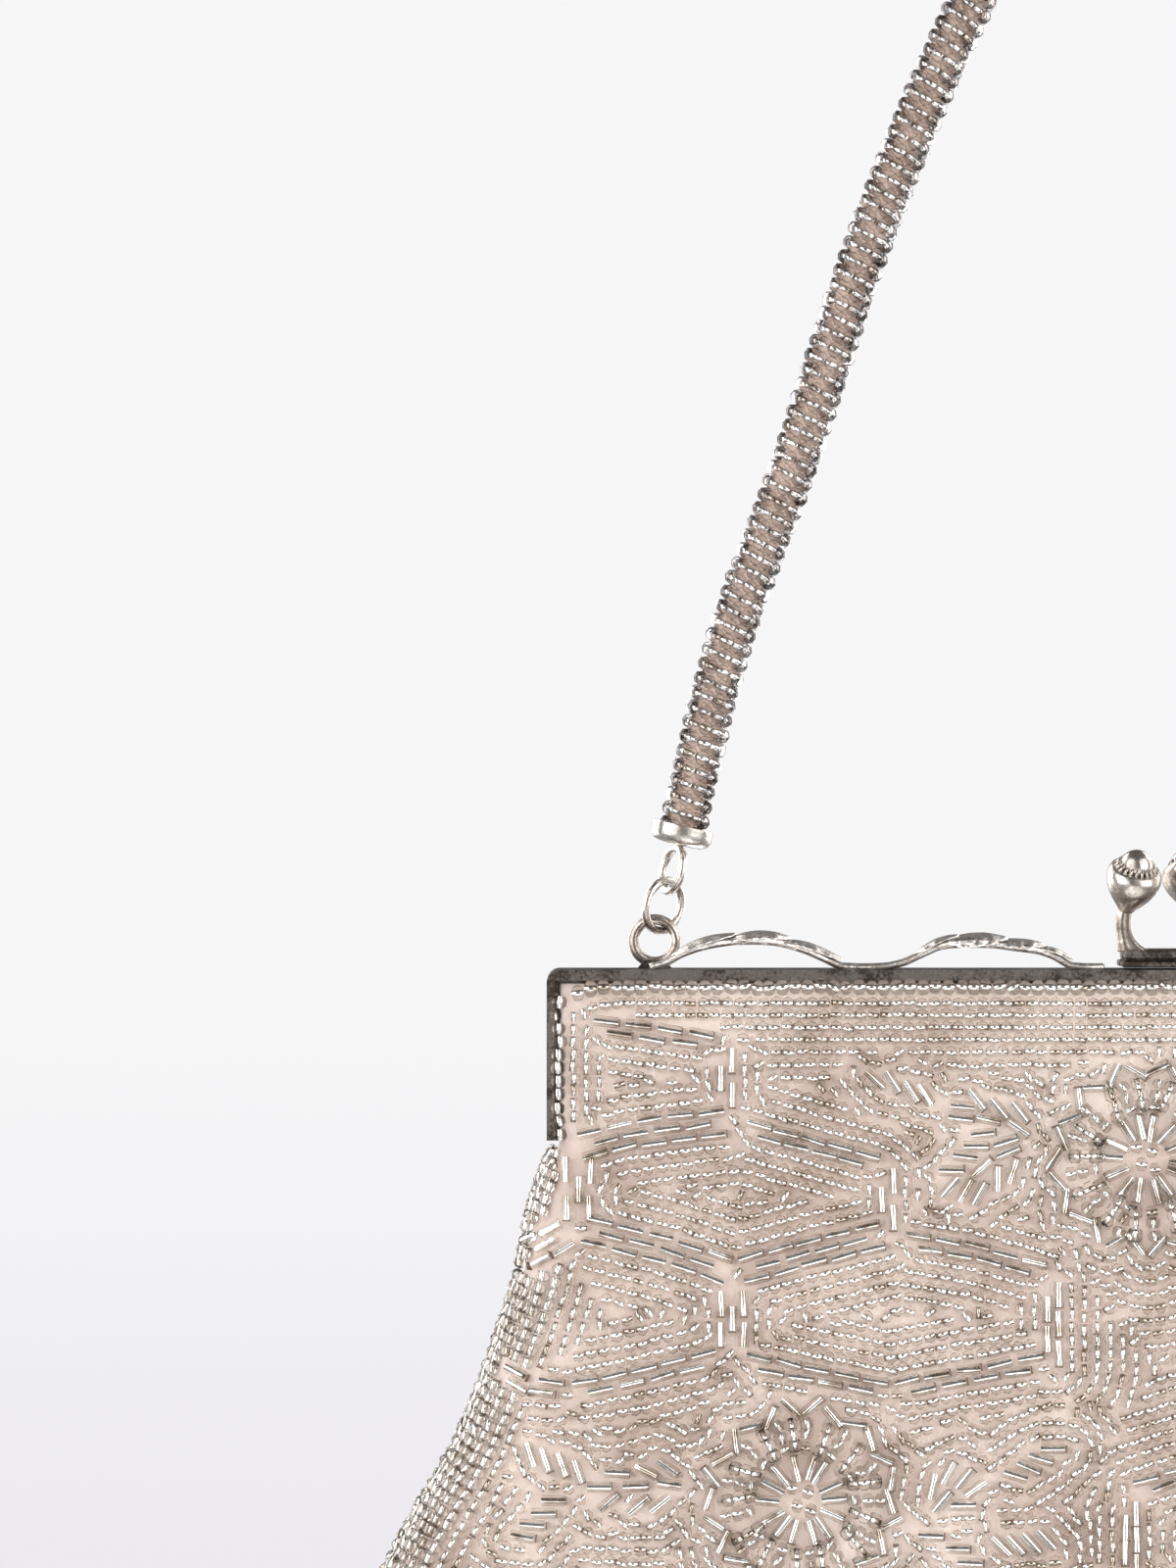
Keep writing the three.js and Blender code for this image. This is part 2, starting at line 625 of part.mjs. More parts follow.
function strap() {
  const circle = new THREE.Shape();
  for (let i = 0; i < STRAP_SIDES; i++) {
    const angle = (i / STRAP_SIDES) * 2 * Math.PI;
    const x = STRAP_RADIUS * Math.cos(angle);
    const y = STRAP_RADIUS * Math.sin(angle);
    if (i === 0) circle.moveTo(x, y);
    else circle.lineTo(x, y);
  }
  return new THREE.ExtrudeGeometry(circle, {
    steps: STRAP_STEPS,
    bevelEnabled: false,
    extrudePath: strapCurve(),
  });
}

// Assembly
function piece(name, geometry, material) {
  const mesh = new THREE.Mesh(geometry, material);
  mesh.name = name;
  return mesh;
}

const bag = new THREE.Group();
bag.position.set(0, -HALF_MIDDLE_Y, -HANG_HEIGHT);
bag.add(
  piece("bag_body", bagBody(), beadedCloth),
  piece("front_frame", frontFrame(), tarnishedSilver),
  piece("back_frame", backFrame(), tarnishedSilver),
  piece("front_clasp", clasp(), brightSilver),
  piece("back_clasp", clasp().rotateZ(Math.PI), brightSilver),
);

const strapEnds = { left: -1, right: 1 };
for (const [name, side] of Object.entries(strapEnds)) {
  bag.add(piece(`hinge_pin_${name}`, hingePin(side), tarnishedSilver));

  // The links are drawn for the left end and turned half round for the right one.
  const links = new THREE.Group();
  links.position.set(side * LUG_X, HALF_MIDDLE_Y, LUG_CENTRE_Z);
  if (side > 0) links.rotation.z = Math.PI;
  const pulled = new THREE.Group();
  pulled.rotation.y = THREE.MathUtils.degToRad(PULL_ANGLE);
  const ring = piece(`jump_ring_${name}`, jumpRing(), brightSilver);
  ring.position.z = JUMP_RING_AT;
  const cap = piece(`strap_cap_${name}`, strapCap(), brightSilver);
  cap.position.z = CAP_UNDERSIDE_AT;
  pulled.add(ring, cap);
  links.add(pulled);
  bag.add(links);
}

const beadedStrap = piece("beaded_strap", strap(), strapBeads);
beadedStrap.position.y = HALF_MIDDLE_Y;
bag.add(beadedStrap);

const part = new THREE.Group();
part.add(bag);
export default part;
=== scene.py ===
import bpy
import numpy as np
from mathutils.kdtree import KDTree
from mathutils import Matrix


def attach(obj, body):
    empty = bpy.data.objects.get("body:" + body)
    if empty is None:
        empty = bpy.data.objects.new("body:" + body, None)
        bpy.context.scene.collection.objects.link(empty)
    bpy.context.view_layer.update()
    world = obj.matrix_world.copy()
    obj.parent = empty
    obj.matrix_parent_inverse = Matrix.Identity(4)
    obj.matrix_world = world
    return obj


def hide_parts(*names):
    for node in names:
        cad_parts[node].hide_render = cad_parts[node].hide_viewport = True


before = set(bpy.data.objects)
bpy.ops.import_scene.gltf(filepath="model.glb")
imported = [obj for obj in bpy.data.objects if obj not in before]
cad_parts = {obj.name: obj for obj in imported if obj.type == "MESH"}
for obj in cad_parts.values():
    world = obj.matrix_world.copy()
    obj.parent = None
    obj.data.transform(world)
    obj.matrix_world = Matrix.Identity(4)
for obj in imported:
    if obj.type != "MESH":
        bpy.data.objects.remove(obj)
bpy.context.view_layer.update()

# The studio: the bag hangs by its strap over a plain pale floor, against a pale ground. Soft boxes on both
# sides and a weaker one below light it, so the silver inside the glass shows white edges and dark middles.
HANG = -0.147  # height of the rail's top, under the point where the strap hangs
FLOOR = -0.42
FLOOR_REACH = 1.2  # to each side of the bag
GROUND_LIFT = 0.13  # the ground pales from this far under eye level, in directions of length 1
CORNERS = [(-1, -1), (1, -1), (1, 1), (-1, 1)]

floor_mesh = bpy.data.meshes.new("studio_floor")
floor_corners = [(x * FLOOR_REACH, y * FLOOR_REACH, FLOOR) for x, y in CORNERS]
floor_mesh.from_pydata(floor_corners, [], [(0, 1, 2, 3)])
floor = bpy.data.objects.new("studio_floor", floor_mesh)
bpy.context.collection.objects.link(floor)
paper = bpy.data.materials.new("pale_paper")
paper.use_nodes = True
paper_tree = paper.node_tree
paper_shader = paper_tree.nodes["Principled BSDF"]
paper_shader.inputs["Base Color"].default_value = (0.3, 0.3, 0.31, 1)
paper_shader.inputs["Roughness"].default_value = 0.9
pale = paper_tree.nodes.new("ShaderNodeEmission")  # what the eye sees, while reflections see the dim paper
pale.inputs["Color"].default_value = (0.835, 0.82, 0.86, 1)
seen = paper_tree.nodes.new("ShaderNodeLightPath")
paper_mix = paper_tree.nodes.new("ShaderNodeMixShader")
paper_tree.links.new(seen.outputs["Is Camera Ray"], paper_mix.inputs["Fac"])
paper_tree.links.new(paper_shader.outputs[0], paper_mix.inputs[1])
paper_tree.links.new(pale.outputs[0], paper_mix.inputs[2])
paper_tree.links.new(paper_mix.outputs[0], paper_tree.nodes["Material Output"].inputs["Surface"])
floor.data.materials.append(paper)


def two_tones(tree, value, low, high):
    """A colour picked by a value between two stops, each a place from 0 to 1 and a colour."""
    ramp = tree.nodes.new("ShaderNodeValToRGB")
    for stop, (place, colour) in zip(ramp.color_ramp.elements, (low, high)):
        stop.position = place
        stop.color = (*colour, 1)
    tree.links.new(value, ramp.inputs["Fac"])
    return ramp


world = bpy.data.worlds.new("studio")
world.use_nodes = True
bpy.context.scene.world = world
sky = world.node_tree
seen_ground = sky.nodes["Background"]
where = sky.nodes.new("ShaderNodeTexCoord")
aloft = sky.nodes.new("ShaderNodeSeparateXYZ")
lift = sky.nodes.new("ShaderNodeMath")
lift.inputs[1].default_value = GROUND_LIFT
sky.links.new(where.outputs["Generated"], aloft.inputs[0])
sky.links.new(aloft.outputs["Z"], lift.inputs[0])
ground_tone = two_tones(sky, lift.outputs[0], (0, (0.84, 0.823, 0.864)), (0.1, (0.925, 0.925, 0.935)))
ground_tone.color_ramp.interpolation = "EASE"
sky.links.new(ground_tone.outputs["Color"], seen_ground.inputs["Color"])
dim_room = sky.nodes.new("ShaderNodeBackground")
dim_room.inputs["Color"].default_value = (1, 0.96, 0.95, 1)
dim_room.inputs["Strength"].default_value = 0.12
ray = sky.nodes.new("ShaderNodeLightPath")
either = sky.nodes.new("ShaderNodeMixShader")
bounces = sky.nodes.new("ShaderNodeMath")  # none when the ground is seen directly or through glass alone
sky.links.new(ray.outputs["Diffuse Depth"], bounces.inputs[0])
sky.links.new(ray.outputs["Glossy Depth"], bounces.inputs[1])
direct = sky.nodes.new("ShaderNodeMath")
direct.operation = "LESS_THAN"
direct.inputs[1].default_value = 0.5
sky.links.new(bounces.outputs[0], direct.inputs[0])
sky.links.new(direct.outputs[0], either.inputs["Fac"])
sky.links.new(dim_room.outputs[0], either.inputs[1])
sky.links.new(seen_ground.outputs[0], either.inputs[2])
sky.links.new(either.outputs[0], sky.nodes["World Output"].inputs["Surface"])


def soft_box(name, place, width, height, power):
    """A rectangular lamp at a place, turned to face the middle of the bag."""
    light = bpy.data.lights.new(name, "AREA")
    light.shape = "RECTANGLE"
    light.size, light.size_y, light.energy = width, height, power
    lamp = bpy.data.objects.new(name, light)
    lamp.location = place
    aim = np.array([0, 0, HANG - 0.03]) - np.array(place)
    lamp.rotation_euler = (
        np.arctan2(np.hypot(aim[0], aim[1]), -aim[2]),
        0,
        np.arctan2(aim[1], aim[0]) - np.pi / 2,
    )
    lamp.visible_camera = False
    bpy.context.collection.objects.link(lamp)


for front in (-1, 1):
    for side in (-1, 1):
        beside = (side * 0.68, front * 0.55, HANG)
        soft_box(f"side_box_{front}_{side}", beside, width=0.85, height=1.7, power=13.5)
soft_box("low_box", (0, 0, FLOOR + 0.005), width=1.2, height=0.34, power=1.7)

PHOTO_HEIGHT = 0.19277  # metres of the bag's plane from the photograph's bottom edge to its top
PHOTO_MIDDLE = (-0.0711, 0.0229)  # across from the bag's middle, and up from the rail's top
BAG_PLANE = -0.0085  # the front face, where the photograph's scale holds
CAMERA_BACK = 0.75
camera = bpy.data.objects.new("camera", bpy.data.cameras.new("camera"))
camera.location = (PHOTO_MIDDLE[0], BAG_PLANE - CAMERA_BACK, HANG + PHOTO_MIDDLE[1])
camera.rotation_euler = (np.pi / 2, 0, 0)
camera.data.sensor_fit = "VERTICAL"
camera.data.sensor_height = 36
camera.data.lens = 36 * CAMERA_BACK / PHOTO_HEIGHT
bpy.context.collection.objects.link(camera)
bpy.context.scene.camera = camera
bpy.context.scene.view_settings.view_transform = "Standard"


# The bag itself: beige satin, cut to flare from the frame to round lower corners, its front and back
# sewn together down the sides and along the bottom, and sewn by its upper edge to the frame.
BACK_OF_ORIGIN = -0.002575  # the halves of the frame meet here; the strap hangs over its back half
BEAD_HEIGHT = 1.55  # millimetres that the beads stand over the satin
SATIN = 0.45
BAG_SECTIONS = [  # depth under the rail, half width, half thickness over the beads, share of rounded edge
    (0.0, 74.9, 5.9, 0.012),
    (19.0, 74.9, 5.9, 0.012),
    (21.3, 75.3, 5.9, 0.024),
    (23.2, 76.7, 6.0, 0.034),
    (26.8, 78.1, 6.2, 0.044),
    (30.3, 79.3, 6.5, 0.055),
    (37.5, 80.5, 7.2, 0.075),
    (44.8, 82.8, 7.9, 0.095),
    (52.0, 85.4, 8.7, 0.110),
    (59.2, 88.3, 9.4, 0.125),
    (66.4, 92.7, 10.1, 0.140),
    (73.6, 96.6, 10.8, 0.160),
    (81.6, 100.7, 11.4, 0.190),
    (89.6, 104.6, 11.9, 0.220),
    (99.4, 108.1, 12.3, 0.260),
    (110.0, 110.0, 12.5, 0.300),
    (118.0, 109.2, 12.2, 0.340),
    (126.1, 106.3, 11.1, 0.380),
    (133.1, 100.5, 9.5, 0.420),
    (138.3, 92.6, 7.5, 0.460),
    (142.0, 82.5, 5.5, 0.500),
    (144.2, 70.4, 3.6, 0.540),
    (145.0, 55.0, 2.0, 0.580),
]
ARM_END = 21.5
WIDEST_DEPTH = 110.0
WIDEST_HALF = 110
SHEET_TOP = 1.7
SHEET_ROWS = 72
SHEET_COLUMNS = 45
depth_col, width_col, thick_col, edge_col = np.array(BAG_SECTIONS).T
# The satin lies inside the beads: the sections under the widest place end higher by the beads' height,
# and each is narrower by as much, or by 0.3 mm inside the frame
below = depth_col - WIDEST_DEPTH
drawn_in = WIDEST_DEPTH + below * (below[-1] - BEAD_HEIGHT) / below[-1]
depth_col = np.where(below > 0, drawn_in, depth_col)
width_col = width_col - np.interp(depth_col, [0, 19, 24], [0.3, 0.3, BEAD_HEIGHT])
BAG_BOTTOM = depth_col[-1]


def satin_height(x, depth):
    """How far the satin lies from the bag's middle plane at a place seen from the front, in millimetres:
    a slightly crowned face that falls to each side as a quarter of an ellipse."""
    half_width = np.interp(depth, depth_col, width_col)
    thick = np.interp(depth, depth_col, thick_col) - BEAD_HEIGHT
    rounded = np.interp(depth, depth_col, edge_col) * half_width
    at_frame = np.interp(depth, [0, 20.5, 24], [3.9, 3.9, 0])
    face = half_width - rounded
    side_thick = thick * (1 - 0.1 * np.clip(thick - 4.4, 0, None) / thick)
    crowned = side_thick + (thick - side_thick) * (1 - np.clip(np.abs(x) / face, 0, 1) ** 2)
    outward = np.clip((np.abs(x) - face) / rounded, 0, 1)
    return at_frame + (crowned - at_frame) * np.sqrt(1 - outward**2)


def on_satin(place, half):
    """Points of the satin in metres, their outward normals, and the two directions, across and down, that
    the chart's axes take there. half is -1 for the front and 1 for the back."""
    x, depth = place.T
    step = 0.04
    slope_x = (satin_height(x + step, depth) - satin_height(x - step, depth)) / (2 * step)
    slope_d = (satin_height(x, depth + step) - satin_height(x, depth - step)) / (2 * step)
    one, none = np.ones_like(x), np.zeros_like(x)
    across = np.stack([one, half * slope_x, none], 1)
    down = np.stack([none, half * slope_d, -one], 1)
    normal = -half * np.cross(down, across)
    normal /= np.linalg.norm(normal, axis=1)[:, None]
    point = np.stack([x, half * satin_height(x, depth), -depth], 1) * 0.001
    return point + [0, BACK_OF_ORIGIN, HANG], normal, across, down


def mesh_piece(name, points, corners, sizes, materials, material_index=0, smooth=True):
    """An object at the origin from arrays: points, the corners of all faces in one row, and each face's
    number of corners."""
    mesh = bpy.data.meshes.new(name)
    mesh.vertices.add(len(points))
    mesh.vertices.foreach_set("co", np.asarray(points, np.float32).ravel())
    mesh.loops.add(len(corners))
    mesh.loops.foreach_set("vertex_index", np.asarray(corners, np.int32))
    mesh.polygons.add(len(sizes))
    starts = np.concatenate([[0], np.cumsum(sizes)[:-1]])
    mesh.polygons.foreach_set("loop_start", starts.astype(np.int32))
    index = np.broadcast_to(material_index, len(sizes)).astype(np.int32)
    mesh.polygons.foreach_set("material_index", index)
    mesh.polygons.foreach_set("use_smooth", np.broadcast_to(smooth, len(sizes)).astype(bool))
    mesh.update(calc_edges=True)
    mesh.validate()
    for material in materials:
        mesh.materials.append(material)
    piece = bpy.data.objects.new(name, mesh)
    bpy.context.collection.objects.link(piece)
    return piece


def grid_faces(rows, columns, closed=False):
    """Corners of the quads between neighbouring rows of a grid of points, whose columns may close up."""
    row = np.arange(rows - 1)[:, None]
    column = np.arange(columns if closed else columns - 1)[None]
    near = row * columns + column
    beside = row * columns + (column + 1) % columns
    return np.stack([near, beside, beside + columns, near + columns], -1).reshape(-1, 4)


def satin_sheet(half):
    """Half of the bag as a grid: rows down its depth, columns closer together towards the side seams."""
    depth = np.linspace(SHEET_TOP, BAG_BOTTOM, SHEET_ROWS)
    spread = np.sin(np.linspace(-1, 1, SHEET_COLUMNS) * np.pi / 2)
    x = np.interp(depth, depth_col, width_col)[:, None] * spread[None]
    place = np.stack([x, np.broadcast_to(depth[:, None], x.shape)], -1).reshape(-1, 2)
    points = on_satin(place, half)[0]
    faces = grid_faces(len(depth), len(spread))
    return points, faces[:, ::-1] if half < 0 else faces


front_points, front_faces = satin_sheet(-1)
back_points, back_faces = satin_sheet(1)
satin_faces = np.vstack([front_faces, back_faces + len(front_points)])

satin = bpy.data.materials.new("beige_satin")
satin.use_nodes = True
nodes, links = satin.node_tree.nodes, satin.node_tree.links
place_on = nodes.new("ShaderNodeTexCoord")
soiling = nodes.new("ShaderNodeTexNoise")
soiling.inputs["Scale"].default_value = 55
soiling.inputs["Detail"].default_value = 5
soiled = two_tones(
    satin.node_tree, soiling.outputs["Fac"], (0.33, (0.61, 0.485, 0.43)), (0.62, (0.85, 0.725, 0.66))
)
threads = nodes.new("ShaderNodeTexNoise")
threads.inputs["Scale"].default_value = 2600
threads.inputs["Detail"].default_value = 3
thread_relief = nodes.new("ShaderNodeBump")
thread_relief.inputs["Strength"].default_value = 0.5
thread_relief.inputs["Distance"].default_value = 0.0002
satin_shader = nodes["Principled BSDF"]
satin_shader.inputs["Roughness"].default_value = 0.62
satin_shader.inputs["Sheen Weight"].default_value = 0.15
links.new(place_on.outputs["Object"], soiling.inputs["Vector"])
links.new(place_on.outputs["Object"], threads.inputs["Vector"])
links.new(soiled.outputs["Color"], satin_shader.inputs["Base Color"])
links.new(threads.outputs["Fac"], thread_relief.inputs["Height"])
links.new(thread_relief.outputs["Normal"], satin_shader.inputs["Normal"])

bag_satin = mesh_piece(
    "bag_satin",
    np.vstack([front_points, back_points]),
    satin_faces.ravel(),
    np.full(len(satin_faces), 4),
    [satin],
)
weld = bag_satin.modifiers.new("side_seams", "WELD")
weld.merge_threshold = 0.00002
lining = bag_satin.modifiers.new("thickness", "SOLIDIFY")
lining.thickness = SATIN / 1000
lining.offset = -1
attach(bag_satin, "root")
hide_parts("bag_body")


# Bugles: three millimetre tubes of clear glass with a silvered bore, sewn end to end in double and triple
# rows round the hexagons, one by one as leaves, and in rays and a zigzag ring as flowers.
BUGLE_LENGTH = 3.0
BUGLE_RADIUS = 0.66
BUGLE_BORE = 0.37
BUGLE_LIFT = 0.0007  # metres from the satin to the bore's middle
BUGLE_PITCH = 3.72
ROW_OF_BUGLES = 1.43
HALVES = ((-1, "front"), (1, "back"))
HEXAGON_ROWS = [  # number of rows side by side, then the middle line as places across and down
    (2, [(-71.0, 6.8), (-64.4, 7.6), (-55.3, 9.0)]),
    (2, [(-54.1, 8.9), (-54.1, 17.6)]),
    (3, [(-72.6, 21.9), (-66.5, 20.3), (-60.0, 19.4), (-53.8, 18.7)]),
    (2, [(-52.0, 19.2), (-43.5, 21.6), (-35.2, 23.9)]),
    (3, [(-72.3, 22.4), (-72.3, 31.6)]),
    (2, [(-34.3, 23.6), (-34.3, 32.9)]),
    (3, [(-72.0, 31.8), (-62.0, 34.3), (-53.4, 37.2)]),
    (3, [(-52.6, 37.1), (-44.0, 34.8), (-34.6, 32.5)]),
    (2, [(-32.6, 33.1), (-23.5, 34.6), (-14.6, 37.2)]),
    (2, [(-14.0, 37.9), (-14.0, 49.0)]),
    (3, [(-53.4, 39.0), (-53.4, 46.7)]),
    (2, [(-52.2, 47.8), (-43.0, 49.7), (-34.0, 51.5)]),
    (2, [(-34.0, 51.5), (-24.5, 49.7), (-14.6, 48.0)]),
    (2, [(-82.3, 49.2), (-78.3, 51.0), (-73.3, 51.5)]),
    (2, [(-73.3, 51.5), (-64.0, 49.6), (-54.9, 47.3)]),
    (3, [(-73.4, 32.2), (-78.6, 35.4)]),
    (2, [(-4.7, 64.7), (-4.7, 74.6)]),
    (2, [(-4.5, 63.6), (5.0, 60.7), (14.3, 58.6)]),
    (2, [(14.3, 58.6), (24.0, 60.9), (33.2, 63.6)]),
    (2, [(33.3, 64.4), (33.3, 74.6)]),
    (3, [(-4.4, 75.4), (5.0, 77.8), (14.2, 80.2)]),
    (3, [(14.4, 80.2), (24.0, 77.8), (33.2, 75.4)]),
    (3, [(14.3, 81.9), (14.3, 90.8)]),
    (2, [(-23.6, 80.2), (-14.0, 77.8), (-5.4, 75.5)]),
    (2, [(34.2, 75.5), (43.0, 77.8), (52.4, 80.2)]),
    (2, [(-23.7, 80.8), (-23.7, 91.3)]),
    (2, [(52.4, 80.8), (52.4, 91.3)]),
    (2, [(-23.6, 91.8), (-14.0, 94.3), (-5.0, 96.4)]),
    (2, [(52.3, 91.8), (43.0, 94.3), (33.6, 96.4)]),
    (2, [(-4.8, 96.3), (5.0, 93.9), (14.0, 91.8)]),
    (2, [(33.4, 96.3), (24.0, 93.9), (14.6, 91.8)]),
    (2, [(-4.8, 97.2), (-4.8, 107.0)]),
    (2, [(33.4, 97.2), (33.4, 107.0)]),
    (2, [(-4.6, 107.6), (5.0, 110.0), (14.3, 112.2)]),
    (2, [(33.2, 107.6), (24.0, 110.0), (14.3, 112.2)]),
]
MIRRORED_ROWS = 16  # the first rows are worked again on the right of the clasp
SPRAYS = {  # bugles of a leaf or group of leaves: place across and down from its middle, and tilt in degrees
    "sprig": [(-3.2, -0.9, 45), (-1.1, -0.6, 57), (1.3, 0.5, 57), (3.0, 0.9, 59)],
    "branch": [
        (-1.0, -5.7, 52), (1.8, -4.7, 50), (4.3, -4.1, 47), (4.1, -2.2, 36), (-2.9, -5.0, 5),
        (-2.9, -3.5, 5), (0.4, -3.3, 14), (-0.2, -1.6, -5), (-1.1, 0.1, 0), (-2.3, 1.3, 5),
        (-4.1, 2.9, -5), (2.5, -0.6, -15), (2.9, 0.8, -18), (-0.3, 2.6, -43), (-4.3, 5.2, -46),
        (-2.3, 5.5, -57), (-0.6, 5.9, -58), (1.6, 4.0, -84), (3.5, 3.0, -75),
    ],
    "comb": [(-2.8, -0.8, 68), (-1.0, -0.3, 69), (1.0, 0.3, 68), (3.0, 1.0, 71)],
    "ladder": [(1.8, -2.2, 2), (0.6, -0.6, 2), (-0.6, 0.8, 3), (-1.9, 2.3, 5)],
    "fern": [
        (-4.8, 0.0, -4), (-0.3, -0.1, -2), (3.9, -0.3, 6), (-2.6, -1.7, 3), (1.0, -1.9, 24),
        (3.6, -2.4, 35), (-3.6, 1.9, -38), (0.1, 2.2, -36), (2.8, 2.1, -39),
    ],
    "fan": [
        (-2.7, -0.3, -79), (-0.7, -1.8, -61), (1.3, -1.1, -48), (2.6, -0.1, -32), (-1.5, 1.6, -47),
        (1.0, 2.0, -4),
    ],
    "trail": [(-2.7, -1.7, 7), (0.5, 0.0, 2), (2.1, 1.6, 4)],
    "steps": [(2.3, -1.6, 0), (0.7, -0.5, 19), (-0.7, 0.6, 21), (-2.4, 1.6, 17)],
    "bars": [(-2.8, 0.3, 46), (-1.0, 0.1, 47), (0.9, 0.0, 48), (2.8, -0.3, 47)],
}
SPRAY_PLACES = [  # spray, place across and down, 1 or -1 for turned over left to right
    ("sprig", -32.6, 14.4, 1), ("branch", -22.3, 21.7, 1), ("comb", -75.3, 60.3, 1),
    ("ladder", -77.2, 67.1, 1), ("fern", -65.0, 63.3, 1), ("fan", -26.2, 63.5, 1),
    ("trail", -26.4, 70.8, 1), ("steps", -16.4, 60.3, 1), ("bars", -17.8, 70.1, 1),
    ("sprig", 29.0, 14.4, -1), ("branch", 18.4, 21.7, -1), ("comb", 80.6, 60.3, -1),
    ("ladder", 84.0, 68.0, -1), ("fern", 72.6, 66.0, -1), ("fan", 62.0, 88.0, -1),
    ("comb", -85.5, 84.0, 1), ("branch", -40.5, 88.0, -1), ("fern", -77.5, 90.5, 1),
    ("steps", -90.0, 95.5, 1), ("fan", -47.5, 116.0, 1), ("bars", -33.0, 104.0, -1),
    ("fern", -17.0, 113.5, -1), ("sprig", -84.5, 118.0, 1), ("comb", -28.5, 124.5, 1),
    ("branch", 48.0, 105.5, 1), ("fern", 88.0, 84.0, -1), ("bars", 95.0, 96.0, -1),
    ("fan", 93.0, 110.0, -1), ("ladder", 60.5, 119.5, -1), ("steps", 33.0, 118.5, -1),
    ("sprig", 12.0, 122.0, 1), ("comb", 45.0, 127.0, -1), ("fern", 84.0, 123.0, 1),
]
RAYS = 14
ZIGZAG_STEP = 5.15  # along a flower's ring from one bugle that leans in to the next
FLOWERS = [  # place across and down, radius of the zigzag ring
    (-2.4, 23.3, 11.1), (-44.9, 64.9, 11.1), (52.4, 63.6, 11.1), (-62.5, 104.5, 11.1), (75.0, 104.0, 11.1),
]


def evenly(points, step, closed=False):
    """Places one step apart along a line of points, half a step in from its ends, and its direction there."""
    if closed:
        points = np.vstack([points, points[:1]])
    leg = np.diff(points, axis=0)
    length = np.linalg.norm(leg, axis=1)
    so_far = np.concatenate([[0], np.cumsum(length)])
    count = max(int(round(so_far[-1] / step)), 1)
    at = (np.arange(count) + 0.5) * so_far[-1] / count
    place = np.stack([np.interp(at, so_far, axis) for axis in points.T], 1)
    on_leg = np.clip(np.searchsorted(so_far, at) - 1, 0, len(leg) - 1)
    return place, leg[on_leg] / np.maximum(length[on_leg], 1e-9)[:, None]


def turned(way, degrees):
    """Directions across and down turned by an angle, clockwise as seen."""
    angle = np.radians(degrees)
    x, down = way.T
    return np.stack([x * np.cos(angle) - down * np.sin(angle), x * np.sin(angle) + down * np.cos(angle)], 1)


def bugle_chart(rng):
    """Places and directions of all bugles of one side of the bag, in millimetres across and down: rows in
    brick bond beside the middle lines, sprays as charted, and for each flower rays from about 2.5 to 5.5
    millimetres out and a ring whose bugles lean in and out in turn."""
    place, way = [], []
    mirrored = [(n, [(-x, d) for x, d in line]) for n, line in HEXAGON_ROWS[:MIRRORED_ROWS]]
    for count, line in HEXAGON_ROWS + mirrored:
        line = np.array(line, float)
        dense, direction = evenly(line, 0.25)
        side = np.stack([-direction[:, 1], direction[:, 0]], 1)
        for k in range(count):
            shifted = dense + (k - (count - 1) / 2) * ROW_OF_BUGLES * side
            start = 7 * (k % 2)  # brick bond: every other row starts half a bugle later
            at, along = evenly(shifted[start : len(shifted) - start], BUGLE_PITCH)
            place.append(at)
            way.append(along)
    for name, x, down, flip in SPRAY_PLACES:
        for dx, dd, tilt in SPRAYS[name]:
            place.append(np.array([[x + flip * dx, down + dd]]))
            angle = np.radians(tilt)
            way.append(np.array([[flip * np.cos(angle), np.sin(angle)]]))
    for x, down, radius in FLOWERS:
        angle = (np.arange(RAYS) + rng.uniform(-0.22, 0.22, RAYS)) * 2 * np.pi / RAYS
        out = np.stack([np.cos(angle), np.sin(angle)], 1)
        place.append([x, down] + out * rng.uniform(3.8, 4.3, (RAYS, 1)))
        way.append(out)
        count = int(2 * np.pi * radius / ZIGZAG_STEP) * 2
        angle = np.arange(count) * 2 * np.pi / count
        out = np.stack([np.cos(angle), np.sin(angle)], 1)
        place.append([x, down] + out * (radius + rng.uniform(-0.6, 0.4, (count, 1))))
        lean = np.where(np.arange(count) % 2, 38, -38) + rng.uniform(-17, 17, count)
        way.append(turned(np.stack([-out[:, 1], out[:, 0]], 1), lean))
    return np.vstack(place), np.vstack(way)


def laid_on(place, way, half):
    """Points of the satin in metres, the directions there of a chart's ways, and the outward normals."""
    point, normal, across, down = on_satin(place, half)
    return point, way[:, :1] * across + way[:, 1:] * down, normal


def tube_shape(sides, profile, around=0.0):
    """A closed body of revolution along X, from its places along X and its radii there."""
    angle = np.arange(sides) / sides * 2 * np.pi + around
    along, radius = np.array(profile, float).T
    points = np.stack(
        [
            np.repeat(along, sides),
            (radius[:, None] * np.cos(angle)).ravel(),
            (radius[:, None] * np.sin(angle)).ravel(),
        ],
        1,
    )
    quads = grid_faces(len(along), sides, closed=True)
    first, last = np.arange(sides)[::-1], np.arange(sides) + (len(along) - 1) * sides
    corners = np.concatenate([quads.ravel(), first, last])
    return points, corners, np.array([4] * len(quads) + [sides, sides])


def lined_bead(sides, profile, bore_sides, bore):
    """A bead of glass with its silvered bore inside: both shapes in one, glass faces first."""
    glass_points, glass_corners, glass_sizes = tube_shape(sides, profile)
    bore_points, bore_corners, bore_sizes = tube_shape(bore_sides, bore, 0.5)
    return (
        np.vstack([glass_points, bore_points]),
        np.concatenate([glass_corners, bore_corners + len(glass_points)]),
        np.concatenate([glass_sizes, bore_sizes]),
        np.concatenate([np.zeros(len(glass_sizes)), np.ones(len(bore_sizes))]),
    )


